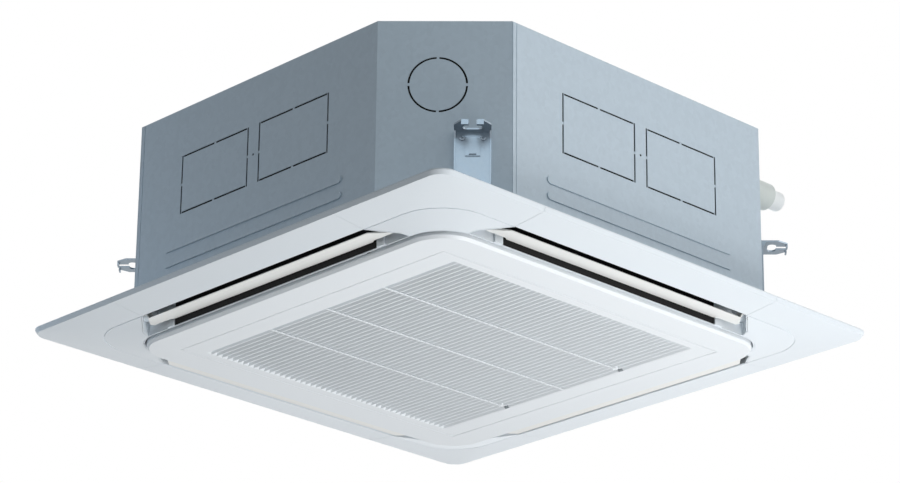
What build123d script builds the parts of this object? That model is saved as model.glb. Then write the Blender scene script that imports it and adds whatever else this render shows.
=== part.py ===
from build123d import *
import math
import os

# Four-way ceiling cassette air conditioner.
# Millimetres, +Z up. The origin is the centre of the unit in the plane of the ceiling.
# The front side faces -Y; the other sides follow counter-clockwise seen from above:
# right (+X), back (+Y) and left (-X). The piping corner is between right and back.

# Sheet metal cabinet
CABINET_SIDE = 840.0
CORNER_LEG = 142.0
CABINET_BASE_Z = 22.0
CABINET_HEIGHT = 288.0
SHEET = 1.0
SEAM_GAP = 1.4
LAP_WIDTH = 14.0
RETURN_FLANGE = 9.0
JOGGLE_DISTANCE = 6.8
JOGGLE_WIDTH = 1.2
JOGGLE_DEPTH = 0.6
TOP_RIM = 12.0
TOP_BEAD_LENGTH = 130.0
TOP_BEAD_WIDTH = 12.0
TOP_BEAD_DEPTH = 1.5
TOP_BEAD_RADIUS = 215.0

# Knock-outs and ribs of the side walls
KNOCKOUT_WIDTH = 160.0
KNOCKOUT_HEIGHT = 99.0
KNOCKOUT_SPACING = 24.0
KNOCKOUT_DROP = 82.5
KNOCKOUT_SLOT = 3.0
KNOCKOUT_TIE = 4.0
ROUND_KNOCKOUT = 90.0
ROUND_KNOCKOUT_DROP = 104.0
ROUND_KNOCKOUT_SHIFT = 10.0
PILOT_HOLE = 4.0
RIB_LENGTH = 410.0
RIB_HEIGHT = 12.0
RIB_STAND = 2.0
RIB_RISES = (29.0, 54.5)

# Hanger brackets, their bolts stand in a rectangle
BOLT_INSET = 26.5
BRACKET_WIDTH = 55.0
BRACKET_REACH = 45.0
BRACKET_HEIGHT = 108.0
BRACKET_PLATE = 2.5
BRACKET_LIP = 10.5
BRACKET_LIP_DROP = 8.0
BRACKET_FLANGE = 5.0
BRACKET_GUSSET = 10.0
BRACKET_SHOULDER = 30.0
BOLT_OUT = 20.5
BOLT_HOLE_LENGTH = 30.0
BOLT_HOLE_WIDTH = 14.0
BOLT_SLOT = 12.0
BRACKET_BOSS = 22.0
BRACKET_SCREW_SPACING = 31.4

# Panel
PANEL_BORDER = 55.0
PANEL_CORNER = 26.0
PANEL_LIP = 8.0
PANEL_LIP_SLOPE = 3.0
PANEL_SKIN = 2.4
STEP_INSET = 8.0
STEP_RADIUS = 80.0
STEP_DEPTH = 15.0
STEP_GROOVE = 1.4
BAND_DEPTH = 24.0
RIM_INSET = 59.0
RIM_RADIUS = 64.5
RIM_WALL = 1.8
RIM_STRIP = 5.0
BASE_PLATE = 2.0
COVER_SEAM = 0.3
COVER_POST = 8.0
POST_SINK = 0.4
POST_EDGE = 25.0
POST_CORNER = 23.0
POST_PAST = 44.0
POST_INSIDE = (115.0, 80.0)

# Air outlets, each a little off the middle of its side; the corner steps run from the outer
# corner of a recess along the side and inwards
OUTLET_SHIFT = -8.5
OUTLET_END_INSET = 22.0
OUTLET_CORNER = ((30.0, 27.3), (40.0, 35.3), (44.0, 45.3))
OUTLET_ROUNDING = 3.0
COLLAR_WALL = 2.0
COLLAR_TOP_Z = 18.0
POCKET_LENGTH = 21.0
CHANNEL_SHORT = 10.0
CHANNEL_INSET = 13.0
END_BLOCK_INSET = 22.0
END_BLOCK_LENGTH = 16.0
END_BLOCK = 3.2
RIM_FOAM = 0.8

# Vanes
VANE_END_GAP = 2.0
VANE_SLANT = 22.5
VANE_TIP_WIDTH = 8.0
VANE_NOTCH_INSET = 37.0
VANE_NOTCH_RUN = 16.0
VANE_CHORD = 36.3
VANE_THICKNESS = 2.4
VANE_BULGE = 1.0
VANE_REST_TILT = 5.8
VANE_HINGE_INSET = 17.3
VANE_HINGE_Z = -3.0
VANE_EDGE_REACH = 8.5
VANE_EDGE_DROP = 14.3
VANE_PIN = 5.0
VANE_HUB = 10.0
VANE_ARM_INSET = 10.0
VANE_ARM = 2.5
VANE_ARM_FEET = (15.5, 26.0)
VANE_ARM_LIFT = 0.7
VANE_MOTOR = 20.0
VANE_MOTOR_STAND = 12.0
VANE_MOTOR_LENGTH = 18.0
VANE_MOTOR_EAR = 30.0
VANE_MOTOR_EAR_WIDTH = 8.0

# Suction grille
GRILLE_GAP = 2.5
GRILLE_FACE_Z = -33.0
GRILLE_EDGE = 4.5
GRILLE_TOP_Z = -14.0
GRILLE_PLATE = 2.4
GRILLE_WALL = 2.2
FIELD_INSET_X = 75.5
FIELD_INSET_Y = 95.5
FIELD_END_SLOPE = 21.0
SLAT_PITCH = 11.2
SLAT_RISE = 8.0
SLAT_THICKNESS = 1.8
BAR_PITCH = 130.0
BAR_WIDTH = 6.0
BAR_BOTTOM = 4.0
BAR_TOP = 12.0
GRILLE_GROOVE_INSET = 56.5
GRILLE_GROOVE = 1.2
GRILLE_HINGE_INSET = 9.0
GRILLE_HINGE_Z = -26.0
GRILLE_HINGE_X = 200.0
GRILLE_PIN = 4.0
HOOK_WIDTH = 5.0
HOOK_EYE = 8.0
LATCH_X = 130.0
LATCH_WIDTH = 10.0
LATCH_ROD = 3.6
LATCH_KNOB_INSET = 13.0
LATCH_KNOB_LENGTH = 12.0
LATCH_TRAVEL = 5.0
LATCH_BACK = 0.8
LATCH_ROD_DROP = 6.5

# Air filter
FILTER_INSET_X = 1.0
FILTER_LAP_Y = 5.0
FILTER_FRAME = 6.0
FILTER_THICKNESS = 4.0
FILTER_RIB = 2.4
FILTER_MESH = 0.6
FILTER_BAYS = 6

# Fan and motor
FAN_RADIUS = 235.0
FAN_BLADES = 7
FAN_HUB_RISE = 10.0
FAN_PLATE = 2.0
FAN_CONE_TOP = 112.0
FAN_CONE_BOTTOM = 66.0
FAN_CONE_DEPTH = 66.0
FAN_BOSS = 40.0
FAN_BOSS_LENGTH = 30.0
FAN_NECK_GAP = 10.5
FAN_NECK_LAP = 10.5
SHROUD_RISE = 32.0
BLADE_THICKNESS = 7.0
BLADE_LEAD = 128.0
BLADE_SWEEP = 58.0
BLADE_TWIST = 14.0
SHAFT = 12.0
SHAFT_BELOW_CONE = 30.0
SHAFT_IN_MOTOR = 36.0
MOTOR_RADIUS = 62.0
MOTOR_HEIGHT = 70.0
MOTOR_NOSE = 22.0
MOTOR_NOSE_LENGTH = 10.0
MOTOR_FLANGE = 3.0
MOTOR_STUD_RADIUS = 95.0
MOTOR_STUD = 6.0
BUSH = 20.0
BUSH_LENGTH = 22.0
NUT_HEIGHT = 5.0

# Inlet ring
THROAT_RADIUS = 157.5
MOUTH_CURVE = 68.5
MOUTH_WALL = 2.5
MOUTH_FLANGE_RADIUS = 275.0
MOUTH_FLANGE_Z = 24.0

# Drain pan, coil and insulation
PAN_BOTTOM_Z = 23.0
PAN_HEIGHT = 55.0
PAN_CLEARANCE = 0.3
PAN_HOLE = 252.0
TROUGH_WALL = 6.0
TROUGH_FLOOR_Z = 54.0
TROUGH_RADIUS = 88.0
PAN_PAD_HEIGHT = 4.0
SUMP_BEHIND = 43.0
SUMP_RADIUS = 40.0
SUMP_FLOOR_Z = 36.0
PLUG = 24.0
COIL_GAP = 8.0
COIL_DEPTH = 44.0
COIL_RADIUS = 80.0
COIL_END_BACK_SHORT = 172.0
COIL_END_RIGHT_SHORT = 137.0
COIL_TOP_GAP = 0.3
END_PLATE = 1.2
END_PLATE_MARGIN = 3.0
TUBE = 7.0
TUBE_PITCH = 21.0
TUBE_ROW_PITCH = 22.0
LINER = 7.7
TOP_LINER = 8.0

# Refrigerant pipes
GAS_PIPE = 15.9
LIQUID_PIPE = 9.5
PIPE_DROP = 70.0
GAS_PIPE_BESIDE = 28.0
LIQUID_PIPE_BESIDE = 60.0
PIPE_REACH = 54.0
PIPE_BEND = 22.0
GAS_NUT = 29.0
LIQUID_NUT = 22.0
NUT_LENGTH = 24.0
PIPE_PLATE_THICKNESS = 2.0
PIPE_PLATE_MARGIN = 14.0

# Condensate pump, float switch and drain
PUMP_BEHIND = 49.0
PUMP_RADIUS = 27.0
PUMP_BASE_Z = 38.0
PUMP_CUP_HEIGHT = 40.0
PUMP_WALL = 2.5
PUMP_SLEEVE = 22.0
PUMP_MOTOR = 52.0
PUMP_MOTOR_Z = 110.0
PUMP_MOTOR_HEIGHT = 40.0
PUMP_BRACKET = 2.0
PUMP_BRACKET_WIDTH = 44.0
ROTOR_SHAFT = 5.0
SPOUT_Z = 66.0
SPOUT = 15.0
FLOAT_LEFT = 42.0
FLOAT_BEHIND = 18.0
FLOAT = 22.0
FLOAT_HEIGHT = 18.0
FLOAT_STEM = 8.0
FLOAT_BOTTOM_Z = 60.0
FLOAT_TRAVEL = 12.0
HOSE = 19.0
HOSE_WALL = 1.7
HOSE_BEND = 24.0
HOSE_KNEE = 14.0
HOSE_ROOM = 3.0
DRAIN_DROP = 69.0
DRAIN_SOCKET = 45.0
DRAIN_SOCKET_REACH = 25.0
DRAIN_STUB = 32.0
DRAIN_STUB_LENGTH = 30.0
DRAIN_BORE = 26.0
DRAIN_INSIDE = 30.0
DRAIN_INSIDE_REACH = 27.0
DRAIN_FLANGE = 3.0

# Control box
BOX_LENGTH = 340.0
BOX_WIDTH = 104.0
BOX_INNER_X = -246.0
BOX_BOTTOM_Z = -8.0
BOX_SHEET = 1.0
BOARD = 1.6
BOARD_MARGIN = 6.0
BOARD_Z = 14.0
TERMINAL_LENGTH = 60.0
TERMINAL_WIDTH = 22.0
TERMINAL_HEIGHT = 14.0
BUSHING = 22.0
CABLE_Z = 100.0

# Fasteners and foam
SCREW_HEAD = 9.0
SCREW_HEAD_HEIGHT = 2.5
SCREW_ROOM = 1.0
PANEL_SCREW = 5.0
PANEL_SCREW_PAST = 20.0
PANEL_SCREW_INSET = 30.0
PANEL_BOSS = 14.0

# Clearances
RUNNING = 0.05
LOOSE = 0.3
INLET_GAP = 4.0

# Worked out from the sizes above
ROOT2 = math.sqrt(2.0)
CABINET_HALF = CABINET_SIDE / 2
FLAT_HALF = CABINET_HALF - CORNER_LEG
CORNER_OUT = (2 * CABINET_HALF - CORNER_LEG) / ROOT2
CABINET_TOP_Z = CABINET_BASE_Z + CABINET_HEIGHT
KNOCKOUT_TOP_Z = CABINET_TOP_Z - KNOCKOUT_DROP
ROUND_KNOCKOUT_Z = CABINET_TOP_Z - ROUND_KNOCKOUT_DROP
BRACKET_TOP_Z = CABINET_BASE_Z + BRACKET_HEIGHT
STEP_HALF = CABINET_HALF - STEP_INSET
RIM_HALF = CABINET_HALF - RIM_INSET
PLATE_UNDER_Z = CABINET_TOP_Z - SHEET
TOP_LINER_TOP_Z = PLATE_UNDER_Z - TOP_BEAD_DEPTH
TOP_LINER_BOTTOM_Z = TOP_LINER_TOP_Z - TOP_LINER
PANEL_SIDE = CABINET_SIDE + 2 * PANEL_BORDER
PANEL_HALF = PANEL_SIDE / 2
LIP_HALF = PANEL_HALF - PANEL_LIP_SLOPE
GRILLE_HALF = RIM_HALF - GRILLE_GAP
CHANNEL_INNER = RIM_HALF + RIM_STRIP
GRILLE_RADIUS = RIM_RADIUS - GRILLE_GAP
GRILLE_INSIDE_Z = GRILLE_FACE_Z + GRILLE_PLATE
FIELD_HALF_X = GRILLE_HALF - FIELD_INSET_X
FIELD_HALF_Y = GRILLE_HALF - FIELD_INSET_Y
SLAT_COUNT = round(2 * FIELD_HALF_Y / SLAT_PITCH)
GRILLE_GROOVE_HALF = GRILLE_HALF - GRILLE_GROOVE_INSET
GRILLE_HINGE_OUT = RIM_HALF - GRILLE_HINGE_INSET
LATCH_KNOB_OUT = FIELD_HALF_Y - LATCH_KNOB_INSET
FILTER_HALF_X = FIELD_HALF_X - FILTER_INSET_X
FILTER_HALF_Y = FIELD_HALF_Y + FILTER_LAP_Y
PAN_TOP_Z = PAN_BOTTOM_Z + PAN_HEIGHT
TROUGH_OUTER = CHANNEL_INNER - TROUGH_WALL
COIL_OUTER = TROUGH_OUTER - COIL_GAP
COIL_END_BACK = COIL_OUTER - COIL_END_BACK_SHORT
COIL_END_RIGHT = COIL_OUTER - COIL_END_RIGHT_SHORT
COIL_BOTTOM_Z = TROUGH_FLOOR_Z + PAN_PAD_HEIGHT
COIL_TOP_Z = TOP_LINER_BOTTOM_Z - COIL_TOP_GAP
COIL_INNER = COIL_OUTER - COIL_DEPTH
TROUGH_INNER = COIL_INNER - COIL_GAP
TUBE_BENDS = int((COIL_TOP_Z - COIL_BOTTOM_Z - TUBE_PITCH) / (2 * TUBE_PITCH))
MOTOR_FLANGE_Z = PLATE_UNDER_Z - BUSH_LENGTH - MOTOR_FLANGE
MOTOR_BOTTOM_Z = MOTOR_FLANGE_Z - MOTOR_HEIGHT
FAN_HUB_Z = MOTOR_BOTTOM_Z + FAN_HUB_RISE
CONE_FLOOR_Z = FAN_HUB_Z - FAN_CONE_DEPTH
SHAFT_BOTTOM_Z = CONE_FLOOR_Z - SHAFT_BELOW_CONE
SHAFT_TOP_Z = MOTOR_BOTTOM_Z + SHAFT_IN_MOTOR
SLOT_OUTER = STEP_HALF - STEP_GROOVE / 2
OUTLET_HALF_LENGTH = FLAT_HALF - OUTLET_END_INSET
POCKET_HALF_LENGTH = OUTLET_HALF_LENGTH + POCKET_LENGTH
CHANNEL_HALF_LENGTH = OUTLET_HALF_LENGTH - CHANNEL_SHORT
CHANNEL_OUTER = CABINET_HALF - CHANNEL_INSET
END_BLOCK_X = OUTLET_HALF_LENGTH - END_BLOCK_INSET
VANE_HALF_LENGTH = POCKET_HALF_LENGTH - VANE_END_GAP
VANE_NOTCH_X = VANE_HALF_LENGTH - VANE_NOTCH_INSET
VANE_ARM_X = VANE_HALF_LENGTH - VANE_ARM_INSET
VANE_HINGE_OUT = SLOT_OUTER - VANE_HINGE_INSET
VANE_MOTOR_X = POCKET_HALF_LENGTH + VANE_MOTOR_STAND
PIN_END_X = POCKET_HALF_LENGTH + COLLAR_WALL + 1
PANEL_SCREW_X = FLAT_HALF + PANEL_SCREW_PAST
PANEL_SCREW_OUT = CABINET_HALF - PANEL_SCREW_INSET
LATCH_ROD_Z = GRILLE_TOP_Z - LATCH_ROD_DROP
MOUTH_TOP_Z = MOUTH_FLANGE_Z + MOUTH_CURVE
FAN_NECK = THROAT_RADIUS + FAN_NECK_GAP
FAN_NECK_Z = MOUTH_TOP_Z - FAN_NECK_LAP
SHROUD_EDGE_Z = FAN_NECK_Z + SHROUD_RISE
PIPE_Z = CABINET_TOP_Z - PIPE_DROP
GAS_PIPE_X = COIL_END_BACK + GAS_PIPE_BESIDE
LIQUID_PIPE_X = COIL_END_BACK + LIQUID_PIPE_BESIDE
PIPE_END_Y = CABINET_HALF + PIPE_REACH
DRAIN_X = CORNER_OUT / ROOT2
DRAIN_Z = CABINET_TOP_Z - DRAIN_DROP
DRAIN_SOCKET_END_Y = DRAIN_X + DRAIN_SOCKET_REACH
DRAIN_STUB_END_Y = DRAIN_SOCKET_END_Y + DRAIN_STUB_LENGTH
DRAIN_INSIDE_Y = DRAIN_X - DRAIN_INSIDE_REACH
PUMP_X = DRAIN_X - PUMP_BEHIND
SUMP_X = DRAIN_X - SUMP_BEHIND
FLOAT_X = PUMP_X - FLOAT_LEFT
FLOAT_Y = PUMP_X + FLOAT_BEHIND


def turned(shape, quarter):
    """A front-side shape moved to side 0 front, 1 right, 2 back or 3 left."""
    return Rot(0, 0, 90 * quarter) * shape


def block(x0, x1, y0, y1, z0, z1):
    """A box between three pairs of planes."""
    box = Box(x1 - x0, y1 - y0, z1 - z0)
    return Pos((x0 + x1) / 2, (y0 + y1) / 2, (z0 + z1) / 2) * box


def upright(radius, x, y, z0, z1):
    """A cylinder standing on the plane z0."""
    return Pos(x, y, (z0 + z1) / 2) * Cylinder(radius, z1 - z0)


def along_x(radius, x0, x1, y, z):
    """A cylinder lying along X."""
    return Pos((x0 + x1) / 2, y, z) * Rot(0, 90, 0) * Cylinder(radius, x1 - x0)


def along_y(radius, x, y0, y1, z):
    """A cylinder lying along Y."""
    return Pos(x, (y0 + y1) / 2, z) * Rot(90, 0, 0) * Cylinder(radius, y1 - y0)


def rounded_square(half, radius, z=0.0):
    return Pos(0, 0, z) * RectangleRounded(2 * half, 2 * half, radius)


def square_prism(half, radius, z0, z1):
    return extrude(rounded_square(half, radius, z0), z1 - z0)


def raised(plan, z0, z1):
    """A sketch of the XY plane made solid between two heights."""
    return extrude(Pos(0, 0, z0) * plan, z1 - z0, dir=(0, 0, 1))


def octagon_prism(inset, z0, z1):
    """The cabinet's outline moved inwards by inset."""
    half = CABINET_HALF - inset
    flat = FLAT_HALF - (ROOT2 - 1) * inset
    corners = [(flat, -half), (half, -flat), (half, flat), (flat, half)]
    corners += [(-x, -y) for x, y in corners]
    return extrude(Pos(0, 0, z0) * Polygon(*corners, align=None), z1 - z0)


def at_corner(shape, quarter=0, shift=0.0):
    """Place a shape made with Y pointing out of a cut-off corner, at the corner's middle."""
    x = (CORNER_OUT + shift) / ROOT2
    return turned(Pos(x, -x, 0) * Rot(0, 0, -135) * shape, quarter)


# ---- cabinet -------------------------------------------------------------------------------


def knockout_slots():
    """Eight slots round one rectangular knock-out, as a sketch centred on it."""
    long_slot = KNOCKOUT_WIDTH / 2 - 1.5 * KNOCKOUT_TIE
    tall_slot = KNOCKOUT_HEIGHT / 2 - KNOCKOUT_TIE / 2
    edge_x = (KNOCKOUT_WIDTH - KNOCKOUT_SLOT) / 2
    edge_y = (KNOCKOUT_HEIGHT - KNOCKOUT_SLOT) / 2
    slots = Sketch()
    for side in (-1, 1):
        for half in (-1, 1):
            x = half * (long_slot + KNOCKOUT_TIE) / 2
            y = half * (tall_slot + KNOCKOUT_TIE) / 2
            slots += Pos(x, side * edge_y) * Rectangle(long_slot, KNOCKOUT_SLOT)
            slots += Pos(side * edge_x, y) * Rectangle(KNOCKOUT_SLOT, tall_slot)
    return slots


def round_slots():
    """Four arc slots round the circular knock-out."""
    ring = Circle(ROUND_KNOCKOUT / 2) - Circle(ROUND_KNOCKOUT / 2 - KNOCKOUT_SLOT)
    ties = Rectangle(ROUND_KNOCKOUT, KNOCKOUT_TIE) + Rectangle(KNOCKOUT_TIE, ROUND_KNOCKOUT)
    return ring - ties


def wall_sheet():
    """One flat side with the cut-off corner after it, the lap and the bottom flange."""
    inner = FLAT_HALF - (ROOT2 - 1) * SHEET
    notch = SHEET / ROOT2
    outline = [
        (-FLAT_HALF + SEAM_GAP, -CABINET_HALF),
        (FLAT_HALF, -CABINET_HALF),
        (CABINET_HALF, -FLAT_HALF),
        (CABINET_HALF - notch, -FLAT_HALF + notch),
        (inner, -CABINET_HALF + SHEET),
        (-FLAT_HALF + SEAM_GAP, -CABINET_HALF + SHEET),
    ]
    profile = Pos(0, 0, CABINET_BASE_Z) * Polygon(*outline, align=None)
    sheet = extrude(profile, CABINET_HEIGHT - SHEET)
    lap_top = PLATE_UNDER_Z - TOP_RIM - LOOSE
    sheet += block(
        CABINET_HALF - 2 * SHEET, CABINET_HALF - SHEET,
        -FLAT_HALF - SHEET, -FLAT_HALF + LAP_WIDTH,
        CABINET_BASE_Z + 2 * SHEET, lap_top,
    )
    joggle_x = -FLAT_HALF + SEAM_GAP + JOGGLE_DISTANCE
    sheet -= block(
        joggle_x, joggle_x + JOGGLE_WIDTH, -CABINET_HALF - 1, -CABINET_HALF + JOGGLE_DEPTH,
        CABINET_BASE_Z + 2 * SHEET, PLATE_UNDER_Z,
    )
    flange_in = -CABINET_HALF + SHEET + RETURN_FLANGE
    sheet += block(
        -FLAT_HALF + SEAM_GAP, FLAT_HALF - LAP_WIDTH,
        -CABINET_HALF, flange_in, CABINET_BASE_Z, PAN_BOTTOM_Z,
    )
    tab = block(
        -PANEL_SCREW_X - PANEL_BOSS, -FLAT_HALF + LAP_WIDTH,
        -CABINET_HALF, -PANEL_SCREW_OUT + PANEL_BOSS, CABINET_BASE_Z, PAN_BOTTOM_Z,
    )
    tab &= octagon_prism(SHEET, CABINET_BASE_Z, PAN_BOTTOM_Z)
    tab -= raised(collar_plan(COLLAR_WALL + 2 * LOOSE), CABINET_BASE_Z, PAN_BOTTOM_Z)
    hole = upright(PANEL_SCREW / 2 + RUNNING, -PANEL_SCREW_X, -PANEL_SCREW_OUT, 0, PAN_TOP_Z)
    return sheet + tab - hole


def side_wall(quarter):
    """A complete wall, made as the front one and turned to its side."""
    wall = wall_sheet()
    face = Plane(origin=(0, -CABINET_HALF, 0), x_dir=(1, 0, 0), z_dir=(0, -1, 0))
    for rise in RIB_RISES:
        z = CABINET_BASE_Z + rise
        bead = Pos(0, z) * SlotOverall(RIB_LENGTH, RIB_HEIGHT)
        hollow = Pos(0, z) * SlotOverall(RIB_LENGTH - 2 * SHEET, RIB_HEIGHT - 2 * SHEET)
        wall += extrude(face * bead, RIB_STAND)
        wall -= extrude(face * hollow, RIB_STAND - SHEET)
        wall -= extrude(face * hollow, -2 * SHEET)
    middle = (KNOCKOUT_WIDTH + KNOCKOUT_SPACING) / 2
    knockout_z = KNOCKOUT_TOP_Z - KNOCKOUT_HEIGHT / 2
    for x in (-middle, middle):
        slots = Pos(x, knockout_z) * knockout_slots()
        wall -= extrude(face * slots, 2 * SHEET, both=True)
    wall -= along_y(PILOT_HOLE / 2, 0, -CABINET_HALF - 1, -CABINET_HALF + 2 * SHEET, knockout_z)
    if quarter == 1:
        room = DRAIN_INSIDE / 2 + LOOSE
        wall -= turned(along_y(room, DRAIN_X, DRAIN_INSIDE_Y, DRAIN_STUB_END_Y, DRAIN_Z), -1)
    else:
        side = Plane(origin=(ROUND_KNOCKOUT_SHIFT, 0, ROUND_KNOCKOUT_Z), x_dir=(-1, 0, 0), z_dir=(0, 1, 0))
        wall -= at_corner(extrude(side * round_slots(), 2 * SHEET, both=True))
    wall = turned(wall, quarter)
    if quarter == 2:
        for x, size in ((GAS_PIPE_X, GAS_PIPE), (LIQUID_PIPE_X, LIQUID_PIPE)):
            wall -= along_y(size / 2 + 2 * LOOSE, x, CABINET_HALF - 5, CABINET_HALF + 5, PIPE_Z)
    if quarter == 3:
        wall -= cable_hole()
    return wall


def cable_hole():
    """Opening for the supply cable in the left wall, over the control box."""
    return along_x(BUSHING / 2, -CABINET_HALF - 5, -CABINET_HALF + 5, 0, CABLE_Z)


def top_plate():
    """Lid with a turned-down rim, pressed beads and the studs of the fan motor."""
    plate = octagon_prism(0, PLATE_UNDER_Z, CABINET_TOP_Z)
    rim = octagon_prism(SHEET, PLATE_UNDER_Z - TOP_RIM, PLATE_UNDER_Z)
    rim -= octagon_prism(2 * SHEET, PLATE_UNDER_Z - TOP_RIM, PLATE_UNDER_Z)
    plate += rim
    for index in range(8):
        turn = Rot(0, 0, 22.5 + 45 * index)
        bead = Pos(TOP_BEAD_RADIUS, 0, TOP_LINER_TOP_Z) * SlotOverall(TOP_BEAD_LENGTH, TOP_BEAD_WIDTH)
        inner = SlotOverall(TOP_BEAD_LENGTH - 2 * SHEET, TOP_BEAD_WIDTH - 2 * SHEET)
        hollow = Pos(TOP_BEAD_RADIUS, 0, TOP_LINER_TOP_Z + SHEET) * inner
        plate += turn * extrude(bead, TOP_BEAD_DEPTH)
        plate -= turn * extrude(hollow, CABINET_HEIGHT)
    for x, y in stud_places():
        plate += upright(MOTOR_STUD / 2, x, y, MOTOR_FLANGE_Z - NUT_HEIGHT - 2, CABINET_TOP_Z - SHEET / 2)
    return plate


def stud_places():
    reach = MOTOR_STUD_RADIUS / ROOT2
    return [(reach, reach), (-reach, reach), (-reach, -reach), (reach, -reach)]


def bracket_shift(quarter):
    """Distance of the bolt from the corner's middle, along the corner."""
    mid_x = CORNER_OUT / ROOT2 + BOLT_OUT / ROOT2
    shift = (CABINET_HALF - BOLT_INSET - mid_x) * ROOT2
    return shift if quarter % 2 == 0 else -shift


def hanger_bracket(quarter):
    """Bent bracket with gussets and an open slot for the hanger bolt."""
    half = BRACKET_WIDTH / 2
    under = BRACKET_TOP_Z - BRACKET_PLATE
    foot = CABINET_BASE_Z + 2
    bracket = block(-half, half, 0, BRACKET_PLATE, foot, BRACKET_TOP_Z)
    tip = BOLT_SLOT / 2 + BRACKET_LIP
    plan = [
        (-half, 0), (half, 0), (half, BRACKET_SHOULDER), (tip, BRACKET_REACH),
        (-tip, BRACKET_REACH), (-half, BRACKET_SHOULDER),
    ]
    bracket += extrude(Pos(0, 0, under) * Polygon(*plan, align=None), BRACKET_PLATE)
    web = [
        (0, foot), (BRACKET_FLANGE, foot), (BRACKET_FLANGE, under - BRACKET_GUSSET),
        (BRACKET_GUSSET, under), (0, under),
    ]
    for x in (-half, half - BRACKET_PLATE):
        side = Plane(origin=(x, 0, 0), x_dir=(0, 1, 0), z_dir=(1, 0, 0))
        bracket += extrude(side * Polygon(*web, align=None), BRACKET_PLATE)
    for x0, x1 in ((-tip, -BOLT_SLOT / 2), (BOLT_SLOT / 2, tip)):
        lip_in = BRACKET_REACH - BRACKET_PLATE
        bracket += block(x0, x1, lip_in, BRACKET_REACH, BRACKET_TOP_Z - BRACKET_LIP_DROP, under)
    hole = Pos(0, BOLT_OUT, under) * SlotOverall(BOLT_HOLE_LENGTH, BOLT_HOLE_WIDTH)
    bracket -= extrude(hole, 2 * BRACKET_PLATE)
    half_slot = BOLT_SLOT / 2
    bracket -= block(-half_slot, half_slot, BOLT_OUT, BRACKET_REACH + 1, foot, BRACKET_TOP_Z + 1)
    boss_z = (foot + BRACKET_TOP_Z) / 2 + BRACKET_BOSS
    boss = Pos(0, BRACKET_PLATE + 1, boss_z) * Box(BRACKET_BOSS, 2, BRACKET_BOSS - 3)
    slot = Pos(0, BRACKET_PLATE + 1, boss_z - BRACKET_BOSS / 3) * Box(BRACKET_BOSS / 2, 4, 2)
    bracket = bracket + boss - slot
    for x in (-BRACKET_SCREW_SPACING / 2, BRACKET_SCREW_SPACING / 2):
        bracket -= along_y(PANEL_SCREW / 2 + LOOSE, x, -1, BRACKET_PLATE + 1, bracket_screw_z())
    return at_corner(Pos(-bracket_shift(quarter), 0, 0) * bracket, quarter)


def bracket_screw_z():
    return BRACKET_TOP_Z - BRACKET_PLATE - SCREW_HEAD


def bracket_screws(quarter):
    """Two self-tapping screws hold each bracket."""
    screws = []
    for x in (-BRACKET_SCREW_SPACING / 2, BRACKET_SCREW_SPACING / 2):
        place = x - bracket_shift(quarter)
        z = bracket_screw_z()
        head = along_y(SCREW_HEAD / 2, place, BRACKET_PLATE, BRACKET_PLATE + SCREW_HEAD_HEIGHT, z)
        shank = along_y(PANEL_SCREW / 2, place, 0, BRACKET_PLATE, z)
        screws.append(at_corner(head + shank, quarter))
    return screws


# ---- panel ---------------------------------------------------------------------------------


def panel_form(lift, lip_half):
    """The solid under the panel's lower surface, raised by lift."""
    strip_half = RIM_HALF + RIM_STRIP
    strip_radius = RIM_RADIUS + RIM_STRIP
    low = rounded_square(lip_half, PANEL_CORNER, lift - PANEL_LIP)
    step = rounded_square(STEP_HALF, STEP_RADIUS, lift - STEP_DEPTH)
    strip = rounded_square(strip_half, strip_radius, lift - BAND_DEPTH)
    return loft([low, step], ruled=True) + loft([step, strip], ruled=True)


def panel_skin():
    """The whole lower shell of the panel before it is divided into frame and corner covers."""
    deep = -2 * BAND_DEPTH
    lip = loft(
        [rounded_square(PANEL_HALF, PANEL_CORNER, -BASE_PLATE),
         rounded_square(LIP_HALF, PANEL_CORNER, -PANEL_LIP)],
        ruled=True,
    )
    outside = lip + panel_form(0, LIP_HALF)
    inner_half = LIP_HALF - PANEL_SKIN
    hollow = panel_form(PANEL_SKIN, inner_half)
    hollow += square_prism(inner_half, PANEL_CORNER, PANEL_SKIN - PANEL_LIP, 0)
    skin = outside - hollow
    walls = raised(outlet_plan(COLLAR_WALL), deep, -BASE_PLATE)
    recess = raised(outlet_plan(), deep, -BASE_PLATE)
    for quarter in range(4):
        skin += outside & turned(walls, quarter)
        skin -= turned(recess, quarter)
    skin -= square_prism(RIM_HALF + RIM_WALL, RIM_RADIUS + RIM_WALL, deep, 1)
    groove = square_prism(STEP_HALF + STEP_GROOVE / 2, STEP_RADIUS, deep, -STEP_DEPTH + 1)
    groove -= square_prism(STEP_HALF - STEP_GROOVE / 2, STEP_RADIUS, deep, 0)
    return skin - groove


def outlet_plan(grow=0.0):
    """Recess of the front outlet seen from below, with slanted ends."""
    x = OUTLET_HALF_LENGTH
    right = [(x, -SLOT_OUTER)]
    for along, inward in OUTLET_CORNER:
        right.append((x + along, inward - SLOT_OUTER))
    right.append((right[-1][0], -RIM_HALF - RIM_WALL))
    left = [(-px, py) for px, py in reversed(right)]
    plan = Polygon(*right, *left, align=None)
    slanted = [corner for corner in plan.vertices() if corner.Y < right[3][1] - 1]
    plan = fillet(slanted, OUTLET_ROUNDING)
    if grow:
        plan = offset(plan, grow, kind=Kind.INTERSECTION)
    return Pos(OUTLET_SHIFT, 0) * plan


def collar_plan(grow=0.0):
    """Air way over the base plate: the recess without its far ends."""
    plan = outlet_plan() & Pos(OUTLET_SHIFT, 0) * Rectangle(2 * POCKET_HALF_LENGTH, PANEL_SIDE)
    if grow:
        plan = offset(plan, grow, kind=Kind.INTERSECTION)
    return plan


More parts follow.
